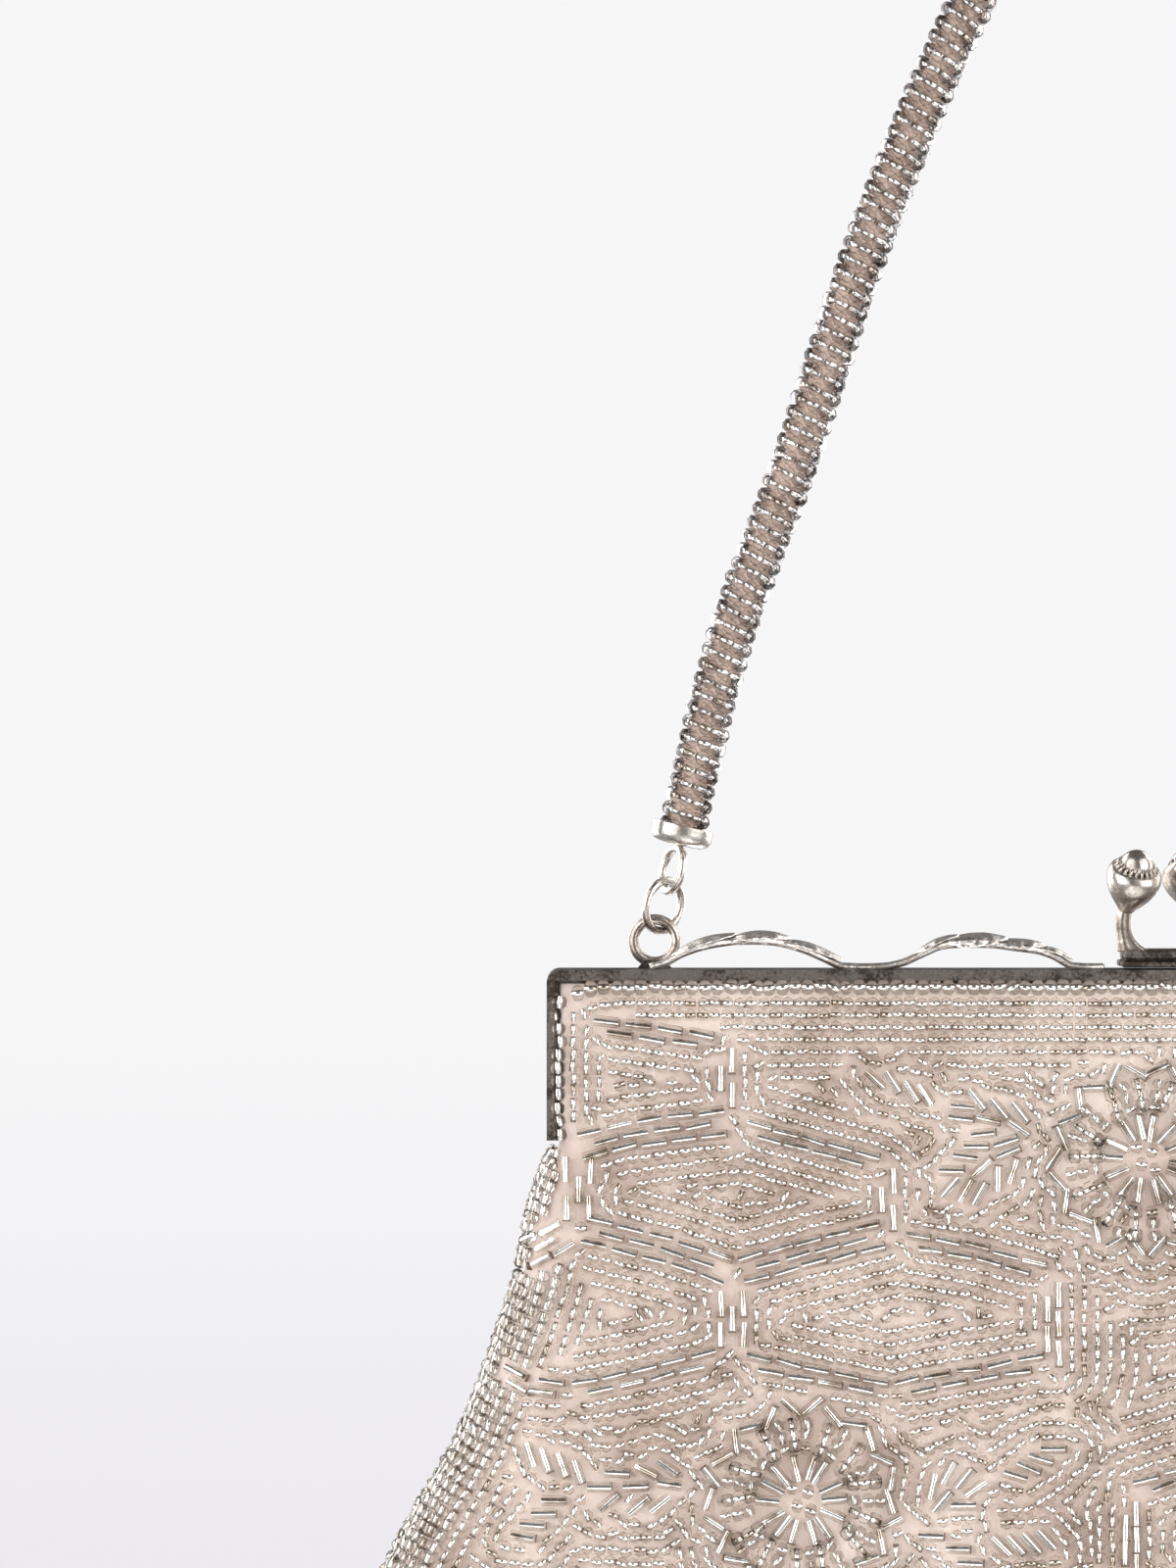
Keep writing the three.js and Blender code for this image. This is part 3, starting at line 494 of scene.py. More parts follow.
def sewn_beads(name, shape, centre, along, up, scale, materials):
    """One piece of many beads: the shape is laid at each centre, its X along the thread and its Z up from
    the cloth, in metres."""
    points, corners, sizes, index = shape
    along = along / np.linalg.norm(along, axis=1)[:, None]
    beside = np.cross(up, along)
    beside /= np.linalg.norm(beside, axis=1)[:, None]
    up = np.cross(along, beside)
    turn = np.stack([along, beside, up], 1)
    placed = centre[:, None] + np.einsum("pa,naj->npj", points * 0.001, turn * scale[:, None, None])
    count = len(centre)
    all_corners = (corners[None] + np.arange(count)[:, None] * len(points)).ravel()
    return mesh_piece(
        name, placed.reshape(-1, 3), all_corners, np.tile(sizes, count), materials, np.tile(index, count)
    )


def bead_variation(tree, scale):
    """A noise on Object coordinates, about one value for each bead."""
    place = tree.nodes.new("ShaderNodeTexCoord")
    noise = tree.nodes.new("ShaderNodeTexNoise")
    noise.inputs["Scale"].default_value = scale
    noise.inputs["Detail"].default_value = 2
    tree.links.new(place.outputs["Object"], noise.inputs["Vector"])
    return noise


def clear_glass(name, bending, clear, smoky, rim):
    """Glass that refracts, lets lamps shine through to what is under it, and is smokier in places. Its colour
    darkens to the rim colour where the surface turns from the eye: painted shade for the beads' dark edges."""
    material = bpy.data.materials.new(name)
    material.use_nodes = True
    tree = material.node_tree
    shader = tree.nodes["Principled BSDF"]
    shader.inputs["Transmission Weight"].default_value = 1
    shader.inputs["IOR"].default_value = bending
    shader.inputs["Roughness"].default_value = 0.02
    tint = two_tones(tree, bead_variation(tree, 420).outputs["Fac"], (0.4, smoky), (0.58, clear))
    # Painted shade: where the surface turns from the eye, the glass colour darkens towards the rim colour
    facing = tree.nodes.new("ShaderNodeLayerWeight")
    facing.inputs["Blend"].default_value = 0.5
    painted_edge_shade = two_tones(tree, facing.outputs["Facing"], (0.4, (1, 1, 1)), (0.82, rim))
    body = tree.nodes.new("ShaderNodeMix")
    body.data_type = "RGBA"
    body.blend_type = "MULTIPLY"
    body.inputs["Factor"].default_value = 1
    tree.links.new(tint.outputs["Color"], body.inputs["A"])
    tree.links.new(painted_edge_shade.outputs["Color"], body.inputs["B"])
    tree.links.new(body.outputs["Result"], shader.inputs["Base Color"])
    ray = tree.nodes.new("ShaderNodeLightPath")
    open_way = tree.nodes.new("ShaderNodeBsdfTransparent")
    open_way.inputs["Color"].default_value = (*clear, 1)
    either = tree.nodes.new("ShaderNodeMixShader")
    tree.links.new(ray.outputs["Is Shadow Ray"], either.inputs["Fac"])
    tree.links.new(shader.outputs[0], either.inputs[1])
    tree.links.new(open_way.outputs[0], either.inputs[2])
    tree.links.new(either.outputs[0], tree.nodes["Material Output"].inputs["Surface"])
    return material


def silvered_bore(name, bright, dull):
    """The mirror coating inside a bead's hole, which dulls and browns where air has reached it."""
    material = bpy.data.materials.new(name)
    material.use_nodes = True
    tree = material.node_tree
    shader = tree.nodes["Principled BSDF"]
    shader.inputs["Metallic"].default_value = 1
    shader.inputs["Roughness"].default_value = 0.16
    browned = two_tones(tree, bead_variation(tree, 330).outputs["Fac"], (0.36, dull), (0.47, bright))
    tree.links.new(browned.outputs["Color"], shader.inputs["Base Color"])
    return material


# The last colour given to each glass is the painted shade of its edges
glass = clear_glass("clear_glass", 1.07, (0.985, 0.98, 0.97), (0.93, 0.91, 0.88), (0.9, 0.88, 0.86))
round_glass = clear_glass("round_glass", 1.3, (0.97, 0.96, 0.945), (0.88, 0.86, 0.83), (0.4, 0.37, 0.35))
silver = silvered_bore("silvered_bore", (0.95, 0.94, 0.92), (0.5, 0.43, 0.36))
BUGLE_SIDES = {-1: (8, 6), 1: (6, 4)}  # of the glass and of its bore, on the front and on the back
chart = {}
for half, where in HALVES:
    rng = np.random.default_rng(11 + half)
    place, way = bugle_chart(rng)
    chart[half] = place, way
    glass_sides, bore_sides = BUGLE_SIDES[half]
    bugle_shape = lined_bead(
        glass_sides,
        [(-BUGLE_LENGTH / 2, BUGLE_RADIUS), (BUGLE_LENGTH / 2, BUGLE_RADIUS)],
        bore_sides,
        [(-BUGLE_LENGTH / 2 - 0.01, BUGLE_BORE), (BUGLE_LENGTH / 2 + 0.01, BUGLE_BORE)],
    )
    place = place + rng.normal(0, 0.06, place.shape)
    way = turned(way, rng.normal(0, 2.2, len(way)))
    point, along, normal = laid_on(place, way, half)
    lean = normal * np.tan(np.radians(rng.normal(0, 3.5, (len(way), 1))))
    bugles = sewn_beads(
        f"bugles_{where}",
        bugle_shape,
        point + normal * BUGLE_LIFT,
        along + lean,
        normal,
        rng.normal(1, 0.025, len(place)),
        [glass, silver],
    )
    # The ends of a bugle are cut square, so its rims stay sharp
    ends = np.zeros(len(bugles.data.edges) * 2, np.int32)
    bugles.data.edges.foreach_get("vertices", ends)
    first, second = ends.reshape(-1, 2).T % len(bugle_shape[0])
    ring_of = np.repeat([0, 1, 2, 3], [glass_sides, glass_sides, bore_sides, bore_sides])
    rim = bugles.data.attributes.new("sharp_edge", "BOOLEAN", "EDGE")
    rim.data.foreach_set("value", ring_of[first] == ring_of[second])
    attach(bugles, "root")
    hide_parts("bag_body")


# Seed beads: clear glass with a silvered bore, sewn to the satin a few at a time. Straight rows run under
# the rail and down the arms, rows follow the flared sides and the bottom, and the rest echo the bugles.
SEED = [(-0.66, 0.55), (0, 0.86), (0.66, 0.55)]  # places along the bore, and radii
SEED_BORE = [(-0.64, 0.31), (0.64, 0.31)]
SEED_LIFT = 0.0008  # metres from the satin to the bore's middle
SIDE_ROWS = 5
ARM_ROW = 72.9  # from the middle to the row beside each arm
RAIL_ROWS = [  # straight rows under the edge row: half their length, and their depth
    (70.5, 4.1),
    (69.0, 5.55),
    (61.7, 7.05),
    (49.8, 8.55),
]
BEAD_PITCH = {-1: 1.5, 1: 1.68}  # along a row, on the front and on the back
ROW_PITCH = {-1: 1.58, 1: 1.78}
FIRST_ROW = 1.55  # from a bugle or a laid row to the row that echoes it
RINGS_OF_ROWS = 14
LEAST_GAP = 1.38  # from a bugle or a laid row to a single bead
ROOM = 0.86  # least distance between two beads, as a share of the pitch along a row
CHART_GRID = 0.4


def with_ways(place):
    """The direction of a row of places at each of them."""
    way = np.gradient(place, axis=0)
    return way / np.linalg.norm(way, axis=1)[:, None]


def side_rows(half, pitch, step):
    """Rows that follow the side seams and the bottom, from one arm's end round to the other's: about whole
    pitches in from the seam, measured over the rounded edge. The seam is the outline of the sections, and
    its direction is evened out six times with the neighbours' before the rows are set off from it."""
    depth = np.concatenate([np.linspace(ARM_END, 136, 120), BAG_BOTTOM - np.geomspace(7, 0.05, 40)])
    right = np.stack([np.interp(depth, depth_col, width_col), depth], 1)
    seam, way = evenly(np.vstack([right, right[::-1] * [-1, 1]]), 1.2)
    for _ in range(6):
        way[1:-1] = (way[:-2] + way[1:-1] * 2 + way[2:]) / 4
    way /= np.linalg.norm(way, axis=1)[:, None]
    inward = np.stack([-way[:, 1], way[:, 0]], 1)
    reach = np.linspace(0, 1, 300) ** 2 * 16
    spots = seam[:, None] + reach[None, :, None] * inward[:, None]
    height = satin_height(spots[..., 0], spots[..., 1])
    over = np.cumsum(np.hypot(np.diff(reach), np.diff(height)), 1)
    rows = []
    for k in range(SIDE_ROWS):
        there = np.array([np.interp((k + 0.55) * pitch, o, reach[1:]) for o in over])
        solid = on_satin(seam + there[:, None] * inward, half)[0] * 1000
        solid = evenly(solid, step)[0]
        rows.append(np.stack([solid[:, 0], HANG * 1000 - solid[:, 2]], 1))
    return rows


def tree_of(points):
    """A search tree of the points."""
    tree = KDTree(len(points))
    for i, p in enumerate(points):
        tree.insert(p, i)
    tree.balance()
    return tree


def crossings(field, level, x, depth):
    """Points where a field on a grid passes through a level, between neighbours across and down."""
    found = []
    for axis in (0, 1):
        low, high = (field[:-1], field[1:]) if axis == 0 else (field[:, :-1], field[:, 1:])
        i, j = np.nonzero((low < level) != (high < level))
        share = (level - low[i, j]) / (high[i, j] - low[i, j])
        at_depth = depth[i] + (share * (depth[1] - depth[0]) if axis == 0 else 0)
        at_x = x[j] + (share * (x[1] - x[0]) if axis == 1 else 0)
        found.append(np.stack([at_x + 0 * share, at_depth + 0 * share], 1))
    return np.vstack(found)


def is_free(p, room, laid):
    """Whether no bead laid so far is nearer to p than the room. laid sorts the beads into squares as wide."""
    i, j = int(p[0] // room), int(p[1] // room)
    return all(
        (p[0] - q[0]) ** 2 + (p[1] - q[1]) ** 2 >= room * room
        for a in (i - 1, i, i + 1)
        for b in (j - 1, j, j + 1)
        for q, _ in laid.get((a, b), ())
    )


def lay(p, way, room, laid):
    """Adds a bead at p to the squares of laid beads."""
    laid.setdefault((int(p[0] // room), int(p[1] // room)), []).append((p, way))


def string_up(dots, step, room, laid):
    """Beads one step apart along lines given as loose dots: from each dot that is still free, the next bead
    is the dot nearest to one step ahead, and again the other way. laid holds the beads so far."""
    miss = 0.16 * step  # by which the next bead may be nearer or farther than a step
    straight_on = 0.72  # least cosine of the turn from one bead to the next
    tree = tree_of(np.column_stack([dots, np.zeros(len(dots))]))
    for start in dots:
        if not is_free(start, room, laid):
            continue
        others = [np.array(q[:2]) - start for q, _, r in tree.find_range((*start, 0), 0.6) if r > 0.2]
        if not others:
            continue
        first_way = others[0] / np.linalg.norm(others[0])
        lay(start, first_way, room, laid)
        for way in (first_way, -first_way):
            here = start
            while True:
                best, best_miss = None, miss
                for q, _, r in tree.find_range((*here, 0), step + miss):
                    leg = np.array(q[:2]) - here
                    if abs(r - step) < best_miss and leg @ way > straight_on * r:
                        best, best_miss = np.array(q[:2]), abs(r - step)
                if best is None or not is_free(best, room, laid):
                    break
                way = (best - here) / np.linalg.norm(best - here)
                lay(best, way, room, laid)
                here = best


def seed_chart(half):
    """Places and directions of the seed beads of one side. First come the straight rows and the rows along
    the seams. Then rows echo every bugle and laid row: they run where the distance to the nearest of them is
    the first row's, and then one row's pitch more each time."""
    step, pitch = BEAD_PITCH[half], ROW_PITCH[half]
    rows = []
    for reach, depth in RAIL_ROWS:
        across = np.linspace(-reach, reach, int(round(2 * reach / step)) + 1)
        rows.append(np.stack([across, depth + 1.1 * np.clip((np.abs(across) - 68) / 5, 0, 1)], 1))
    for side in (-1, 1):
        depth = np.arange(5.8, ARM_END - 0.4, step)
        rows.append(np.stack([np.full(len(depth), side * ARM_ROW), depth], 1))
    straight = len(np.vstack(rows))
    rows += side_rows(half, pitch, step)

    place, way = chart[half]
    ends = np.linspace(-BUGLE_LENGTH / 2, BUGLE_LENGTH / 2, 7)[None, :, None]
    on_bugles = (place[:, None] + ends * way[:, None]).reshape(-1, 2)
    cloud = np.vstack([on_bugles] + [evenly(row, 0.4)[0] for row in rows])
    near = tree_of(np.column_stack([cloud, np.zeros(len(cloud))]))
    bugle_near = tree_of(on_satin(on_bugles, half)[0] * 1000)
    border = np.vstack(rows)
    border_way = np.vstack([with_ways(row) for row in rows])
    clear_of = np.array([bugle_near.find(p)[2] > 1.3 for p in on_satin(border, half)[0] * 1000])
    straight = clear_of[:straight].sum()
    border, border_way = border[clear_of], border_way[clear_of]

    x = np.arange(-WIDEST_HALF, WIDEST_HALF + 0.1, CHART_GRID)
    depth = np.arange(5, BAG_BOTTOM, CHART_GRID)
    far = np.array([[near.find((a, b, 0))[2] for a in x] for b in depth])
    inner = rows[-1]
    limit = np.interp(depth, inner[len(inner) // 2 :, 1][::-1], np.abs(inner[len(inner) // 2 :, 0])[::-1])
    outside = np.abs(x)[None] > np.where(depth < ARM_END, 73, limit)[:, None]
    outside |= depth[:, None] > inner[:, 1].max() - 0.2
    for a, b, radius in FLOWERS:
        outside |= np.hypot(x[None] - a, depth[:, None] - b) < radius
    laid, room = {}, ROOM * step
    for ring in range(RINGS_OF_ROWS):
        dots = crossings(far, FIRST_ROW + ring * pitch, x, depth)
        i = np.clip(np.round((dots[:, 1] - depth[0]) / CHART_GRID).astype(int), 0, len(depth) - 1)
        j = np.clip(np.round((dots[:, 0] - x[0]) / CHART_GRID).astype(int), 0, len(x) - 1)
        string_up(dots[~outside[i, j]], step, room, laid)
    # Single beads close the gaps that the rows leave
    rows_of_grid, columns_of_grid = np.nonzero((far > LEAST_GAP) & ~outside)
    slope_d, slope_x = np.gradient(far)
    for k in np.argsort(far[rows_of_grid, columns_of_grid]):
        i, j = rows_of_grid[k], columns_of_grid[k]
        spot = np.array([x[j], depth[i]])
        if is_free(spot, room, laid):
            contour = np.array([-slope_d[i, j], slope_x[i, j]]) + [1e-6, 0]
            lay(spot, contour / np.linalg.norm(contour), room, laid)
    beads = [bead for square in laid.values() for bead in square]
    found, found_way = (np.array(part) for part in zip(*beads))
    return {
        "rail_seeds": (border[:straight], border_way[:straight]),
        "side_seeds": (border[straight:], border_way[straight:]),
        "field_seeds_left": (found[found[:, 0] < 0], found_way[found[:, 0] < 0]),
        "field_seeds_right": (found[found[:, 0] >= 0], found_way[found[:, 0] >= 0]),
    }


# A box's faces, whose points are the four corners below and then above
BOX_FACES = np.array([[3, 2, 1, 0], [4, 5, 6, 7], [0, 1, 5, 4], [1, 2, 6, 5], [2, 3, 7, 6], [3, 0, 4, 7]])


def shade_and_thread_marks(name, place, way, half, width):
    """Thin upright dark slips across the row between beads: partly the brown thread that shows there,
    partly painted shade in the gaps.
    """
    slip = np.array([[x, y, z] for z in (-0.5, 0.25) for x, y in CORNERS])
    slip[:, 0] *= 0.085
    slip[:, 1] *= width / 2
    point, along, normal = laid_on(place, way, half)
    marks = sewn_beads(
        name,
        (slip, BOX_FACES.ravel(), np.full(6, 4), np.zeros(6)),
        point + normal * BUGLE_LIFT,
        along,
        normal,
        np.ones(len(place)),
        [thread_and_gap_shade],
    )
    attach(marks, "root")
    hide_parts("bag_body")


# Dark brown, for the thread and for the painted shade in the gaps between beads
thread_and_gap_shade = bpy.data.materials.new("thread_and_gap_shade")
thread_and_gap_shade.use_nodes = True
thread_and_shade_variation = bead_variation(thread_and_gap_shade.node_tree, 700)
thread_and_shade_tone = two_tones(
    thread_and_gap_shade.node_tree, thread_and_shade_variation.outputs["Fac"], (0, (0.09, 0.055, 0.035)), (1, (0.3, 0.21, 0.15))
)
thread_and_shade_shader = thread_and_gap_shade.node_tree.nodes["Principled BSDF"]
thread_and_shade_shader.inputs["Roughness"].default_value = 0.7
thread_and_gap_shade.node_tree.links.new(thread_and_shade_tone.outputs["Color"], thread_and_shade_shader.inputs["Base Color"])

for half, where in HALVES:
    rng = np.random.default_rng(29 + half)
    bore_sides = 5 if half < 0 else 4
    shape = lined_bead(5, SEED, bore_sides, SEED_BORE)
    round_shape = lined_bead(6 if half < 0 else 5, SEED, bore_sides, SEED_BORE)
    marked = []
    for name, (place, way) in seed_chart(half).items():
        place = place + rng.normal(0, 0.05, place.shape)
        way = turned(way, rng.normal(0, 4.5, len(way)))
        point, along, normal = laid_on(place, way, half)
        lean = normal * np.tan(np.radians(rng.normal(0, 5, (len(way), 1))))
        seeds = sewn_beads(
            f"{name}_{where}",
            round_shape if name == "side_seeds" else shape,
            point + normal * SEED_LIFT,
            along + lean,
            normal,
            rng.normal(1, 0.04, len(place)),
            [round_glass if name == "side_seeds" else glass, silver],
        )
        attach(seeds, "root")
        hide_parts("bag_body")
        # Painted shade with thread: dark slips go between some seeds here, and at the ends of some bugles
        # below
        chosen = rng.random(len(place)) < (0.3 if half < 0 else 0.08)
        marked.append((place[chosen] + way[chosen] * BEAD_PITCH[half] * 0.5, way[chosen]))
    mark_place, mark_way = (np.vstack(part) for part in zip(*marked))
    shade_and_thread_marks(f"seed_thread_and_shade_{where}", mark_place, mark_way, half, 0.7)
    place, way = chart[half]
    chosen = rng.random(len(place)) < (0.75 if half < 0 else 0.4)
    ends = place[chosen] + way[chosen] * (BUGLE_LENGTH / 2 + 0.13)
    shade_and_thread_marks(f"bugle_thread_and_shade_{where}", ends, way[chosen], half, 1.0)


# Flowers: inside its zigzag ring each has a few seeds in the middle, and round the rays a ring of loops.
# A loop is five round beads on a thread that is sewn down at its two ends, so that they stand up in an arch.
# Short strands of the same beads lie flat between the loops.
FLOWER_SEEDS = [(-1.25, -1.5, 4), (0.75, -1.0, 8), (-0.6, 0.65, 14), (1.05, 1.3, 12)]
LOOP_BEAD = [(-0.64, 0.5), (-0.36, 0.88), (0.36, 0.88), (0.64, 0.5)]
LOOP_BORE = [(-0.6, 0.32), (0.6, 0.32)]
LOOPS = 13
LOOP_RISES = [0, 45, 90, 135, 180]  # places round a loop's arch, in degrees
LOOP_FOOT = 3.2  # in from the zigzag ring to the middle of a loop
STRAND = ((4.6, 80), (3.1, 10), (1.65, -10))  # each flat bead: how far in from the ring, and its twist
# Its last colour is the painted shade of the loop beads' edges
loop_glass = clear_glass("loop_glass", 1.14, (0.985, 0.98, 0.97), (0.94, 0.92, 0.89), (0.66, 0.62, 0.59))
for half, where in HALVES:
    rng = np.random.default_rng(97 + half)
    middle = np.array([(x + dx, d + dd, tilt) for x, d, _ in FLOWERS for dx, dd, tilt in FLOWER_SEEDS])
    way = turned(np.tile([[1.0, 0]], (len(middle), 1)), middle[:, 2] + rng.normal(0, 8, len(middle)))
    point, along, normal = laid_on(middle[:, :2], way, half)
    seeds = [(point + normal * SEED_LIFT, along, normal)]
    for x, d, radius in FLOWERS:
        angle = (np.arange(LOOPS) + 0.5 + rng.uniform(-0.15, 0.15, LOOPS)) * 2 * np.pi / LOOPS
        out = np.stack([np.cos(angle), np.sin(angle)], 1)
        swing = turned(out, rng.uniform(-16, 16, LOOPS))
        span = rng.uniform(1.7, 2.0, LOOPS)
        foot = [x, d] + out * (radius - LOOP_FOOT + rng.uniform(-0.3, 0.3, LOOPS))[:, None]
        for rise in np.radians(LOOP_RISES):
            place = foot + swing * (np.cos(rise) * span)[:, None]
            point, flat, normal = laid_on(place, swing, half)
            flat /= np.linalg.norm(flat, axis=1)[:, None]
            height = (0.75 + np.sin(rise) * span * 0.85) * 0.001
            along = -np.sin(rise) * flat + np.cos(rise) * normal
            up = np.cos(rise) * flat + np.sin(rise) * normal
            seeds.append((point + normal * height[:, None], along, up))
        angle = (np.arange(LOOPS) + 1 + rng.uniform(-0.12, 0.12, LOOPS)) * 2 * np.pi / LOOPS
        out = np.stack([np.cos(angle), np.sin(angle)], 1)
        for inward, twist in STRAND:
            flat_way = turned(out, twist + rng.uniform(-15, 15, LOOPS))
            place = [x, d] + out * (radius - inward + rng.uniform(-0.15, 0.15, LOOPS))[:, None]
            point, along, normal = laid_on(place, flat_way, half)
            seeds.append((point + normal * SEED_LIFT, along, normal))
    centre, along, up = (np.vstack(part) for part in zip(*seeds))
    loops = sewn_beads(
        f"flower_loops_{where}",
        lined_bead(9 if half < 0 else 6, LOOP_BEAD, 5 if half < 0 else 4, LOOP_BORE),
        centre,
        along,
        up,
        rng.normal(1, 0.05, len(centre)),
        [loop_glass, silver],
    )
    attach(loops, "root")
    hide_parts("bag_body")


# The edge row: larger clear beads, strung close under the rail and beside the arms, where they hide the seam
# that holds the satin to the frame.
EDGE_BEAD = [(-0.72, 0.5), (-0.46, 0.9), (0, 1.0), (0.46, 0.9), (0.72, 0.5)]
EDGE_BORE = [(-0.64, 0.34), (0.64, 0.34)]
EDGE_LIFT = 0.00075  # metres from the satin to the bore's middle
EDGE_PITCH = 1.57
EDGE_DEPTH = 2.1
EDGE_REACH = 72.4  # from the middle to the last bead under the rail
EDGE_ARM = 74.35  # from the middle to the row beside each arm
across_rail = np.linspace(-EDGE_REACH, EDGE_REACH, int(2 * EDGE_REACH / EDGE_PITCH) + 1)
beside_arm = np.arange(4.0, ARM_END - 0.3, EDGE_PITCH + 0.05)
sag = 0.9 * np.clip((np.abs(across_rail) - 70) / 3, 0, 1)
edge_place = np.vstack(
    [
        np.stack([across_rail, EDGE_DEPTH + sag], 1),
        np.stack([0 * beside_arm - EDGE_ARM, beside_arm], 1),
        np.stack([0 * beside_arm + EDGE_ARM, beside_arm], 1),
    ]
)
for half, where in HALVES:
    rng = np.random.default_rng(53 + half)
    way = np.where(np.arange(len(edge_place))[:, None] < len(across_rail), [[1.0, 0]], [[0, 1.0]])
    way = turned(way, rng.normal(0, 9, len(way)))
    place = edge_place + rng.normal(0, 0.07, edge_place.shape)
    point, along, normal = laid_on(place, way, half)
    edge_beads = sewn_beads(
        f"edge_beads_{where}",
        lined_bead(8, EDGE_BEAD, 6, EDGE_BORE),
        point + normal * EDGE_LIFT,
        along,
        normal,
        rng.normal(1, 0.05, len(place)),
        [round_glass, silver],
    )
    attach(edge_beads, "root")
    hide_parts("bag_body")


# The strap: a soft cord covered in peach silk, with one long string of grey-clear seed beads wound round it
# in a close helix, tight between the two cups.
LUG_X = 62.8
STRAP_TOP = 150.1  # height of its middle line over the rail at its highest point
WINDING_PITCH = 1.84
WOUND_BEAD_PITCH = 1.58
WOUND_BEAD = [(-0.72, 0.5), (-0.4, 0.9), (0.4, 0.9), (0.72, 0.5)]
BEAD_CIRCLE = 2.2  # radius round which the beads' middles run
CORE_RADIUS = 0.00185  # metres
CORE_SIDES = 12
STRAP_ROUTE = [  # middle line of the left half: shares of LUG_X and of STRAP_TOP
    (0.9503, 0.1061),
    (0.911, 0.1765),
    (0.874, 0.2405),
    (0.826, 0.305),
    (0.767, 0.369),
    (0.711, 0.4335),
    (0.661, 0.4975),
    (0.611, 0.5615),
    (0.555, 0.6255),
    (0.493, 0.69),
    (0.427, 0.7545),
    (0.352, 0.8185),
    (0.271, 0.8825),
    (0.181, 0.947),
    (0.093, 0.987),
]


def strap_line(count):
    """Points at equal distances along the strap's middle line, which is a centripetal Catmull-Rom spline,
    in millimetres from the middle of the rail's top: each span runs between two route points, and its knots
    are as far apart as the square roots of the distances."""
    left = np.array(STRAP_ROUTE) * [-LUG_X, STRAP_TOP]
    route = np.vstack([left, [[0, STRAP_TOP]], left[::-1] * [-1, 1]])
    route = np.vstack([2 * route[0] - route[1], route, 2 * route[-1] - route[-2]])
    a, b, c, d = route[:-3, None], route[1:-2, None], route[2:-1, None], route[3:, None]
    knots = [np.sqrt(np.linalg.norm(q - p, axis=-1, keepdims=True)) for p, q in ((a, b), (b, c), (c, d))]
    tb, tc, td = np.cumsum(knots, 0)
    t = tb + (tc - tb) * np.linspace(0, 1, 24, endpoint=False)[None, :, None]
    ab = a + (b - a) * t / tb
    bc = b + (c - b) * (t - tb) / (tc - tb)
    cd = c + (d - c) * (t - tc) / (td - tc)
    abc = ab + (bc - ab) * t / tc
    bcd = bc + (cd - bc) * (t - tb) / (td - tb)
    line = (abc + (bcd - abc) * (t - tb) / (tc - tb)).reshape(-1, 2)
    line = np.vstack([line, route[-2:-1]])
    length = np.concatenate([[0], np.cumsum(np.linalg.norm(np.diff(line, axis=0), axis=1))])
    at = np.linspace(0, length[-1], count)
    return np.stack([np.interp(at, length, axis) for axis in line.T], 1), length[-1]


def strap_frame(share):
    """Middle line, direction and outward side of the strap at shares of its length, in metres."""
    line, _ = strap_line(1200)
    way = with_ways(line)
    at = np.linspace(0, 1, len(line))
    middle = np.stack([np.interp(share, at, axis) for axis in line.T], 1) * 0.001
    along = np.stack([np.interp(share, at, axis) for axis in way.T], 1)
    none = np.zeros(len(share))
    centre = np.stack([middle[:, 0], none, middle[:, 1] + HANG], 1)
    along = np.stack([along[:, 0], none, along[:, 1]], 1)
    side = np.stack([-along[:, 2], none, along[:, 0]], 1)
    return centre, along, side


strap_length = strap_line(2)[1]
silk = bpy.data.materials.new("peach_silk")
silk.use_nodes = True
silk_shader = silk.node_tree.nodes["Principled BSDF"]
silk_shader.inputs["Roughness"].default_value = 0.55
silk_variation = bead_variation(silk.node_tree, 240)
silk_tone = two_tones(
    silk.node_tree, silk_variation.outputs["Fac"], (0, (0.46, 0.34, 0.27)), (1, (0.74, 0.6, 0.52))
)
silk.node_tree.links.new(silk_tone.outputs["Color"], silk_shader.inputs["Base Color"])

share = np.linspace(0.0004, 0.9996, 260)
centre, along, side = strap_frame(share)
angle = np.arange(CORE_SIDES) / CORE_SIDES * 2 * np.pi
ring = centre[:, None] + CORE_RADIUS * (
    np.cos(angle)[None, :, None] * side[:, None] + np.sin(angle)[None, :, None] * np.array([0, 1.0, 0])
)
faces = grid_faces(len(share), CORE_SIDES, closed=True)[:, ::-1]
first_end = np.arange(CORE_SIDES)
ends_of_core = [first_end, (first_end + (len(share) - 1) * CORE_SIDES)[::-1]]
strap_core = mesh_piece(
    "strap_core",
    ring.reshape(-1, 3),
    np.concatenate([faces.ravel(), *ends_of_core]),
    np.array([4] * len(faces) + [CORE_SIDES] * 2),
    [silk],
)
# Its last colour, near black, is the painted shade of the strap beads' dark edges
strap_glass = clear_glass("strap_glass", 1.3, (0.95, 0.93, 0.92), (0.5, 0.47, 0.47), (0.06, 0.055, 0.06))
turns = strap_length / WINDING_PITCH
count = int(turns * np.hypot(2 * np.pi * BEAD_CIRCLE, WINDING_PITCH) / WOUND_BEAD_PITCH)
rng = np.random.default_rng(71)
share = np.clip((np.arange(count) + 0.5) / count + rng.normal(0, 0.00004, count), 0.0035, 0.9965)
turn = share * turns * 2 * np.pi
centre, along, side = strap_frame(share)
outward = np.cos(turn)[:, None] * side + np.sin(turn)[:, None] * np.array([0, 1.0, 0])
round_it = -np.sin(turn)[:, None] * side + np.cos(turn)[:, None] * np.array([0, 1.0, 0])
thread_way = round_it * BEAD_CIRCLE * 2 * np.pi + along * WINDING_PITCH
wobble = rng.normal(0, 0.06, (count, 3))
strap_beads = sewn_beads(
    "strap_beads",
    lined_bead(8, WOUND_BEAD, 5, LOOP_BORE),
    centre + outward * BEAD_CIRCLE * 0.001,
    thread_way + wobble * 14,
    outward,
    rng.normal(1, 0.035, count),
    [strap_glass, silver],
)
for piece in (strap_core, strap_beads):
    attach(piece, "root")
    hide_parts("beaded_strap")


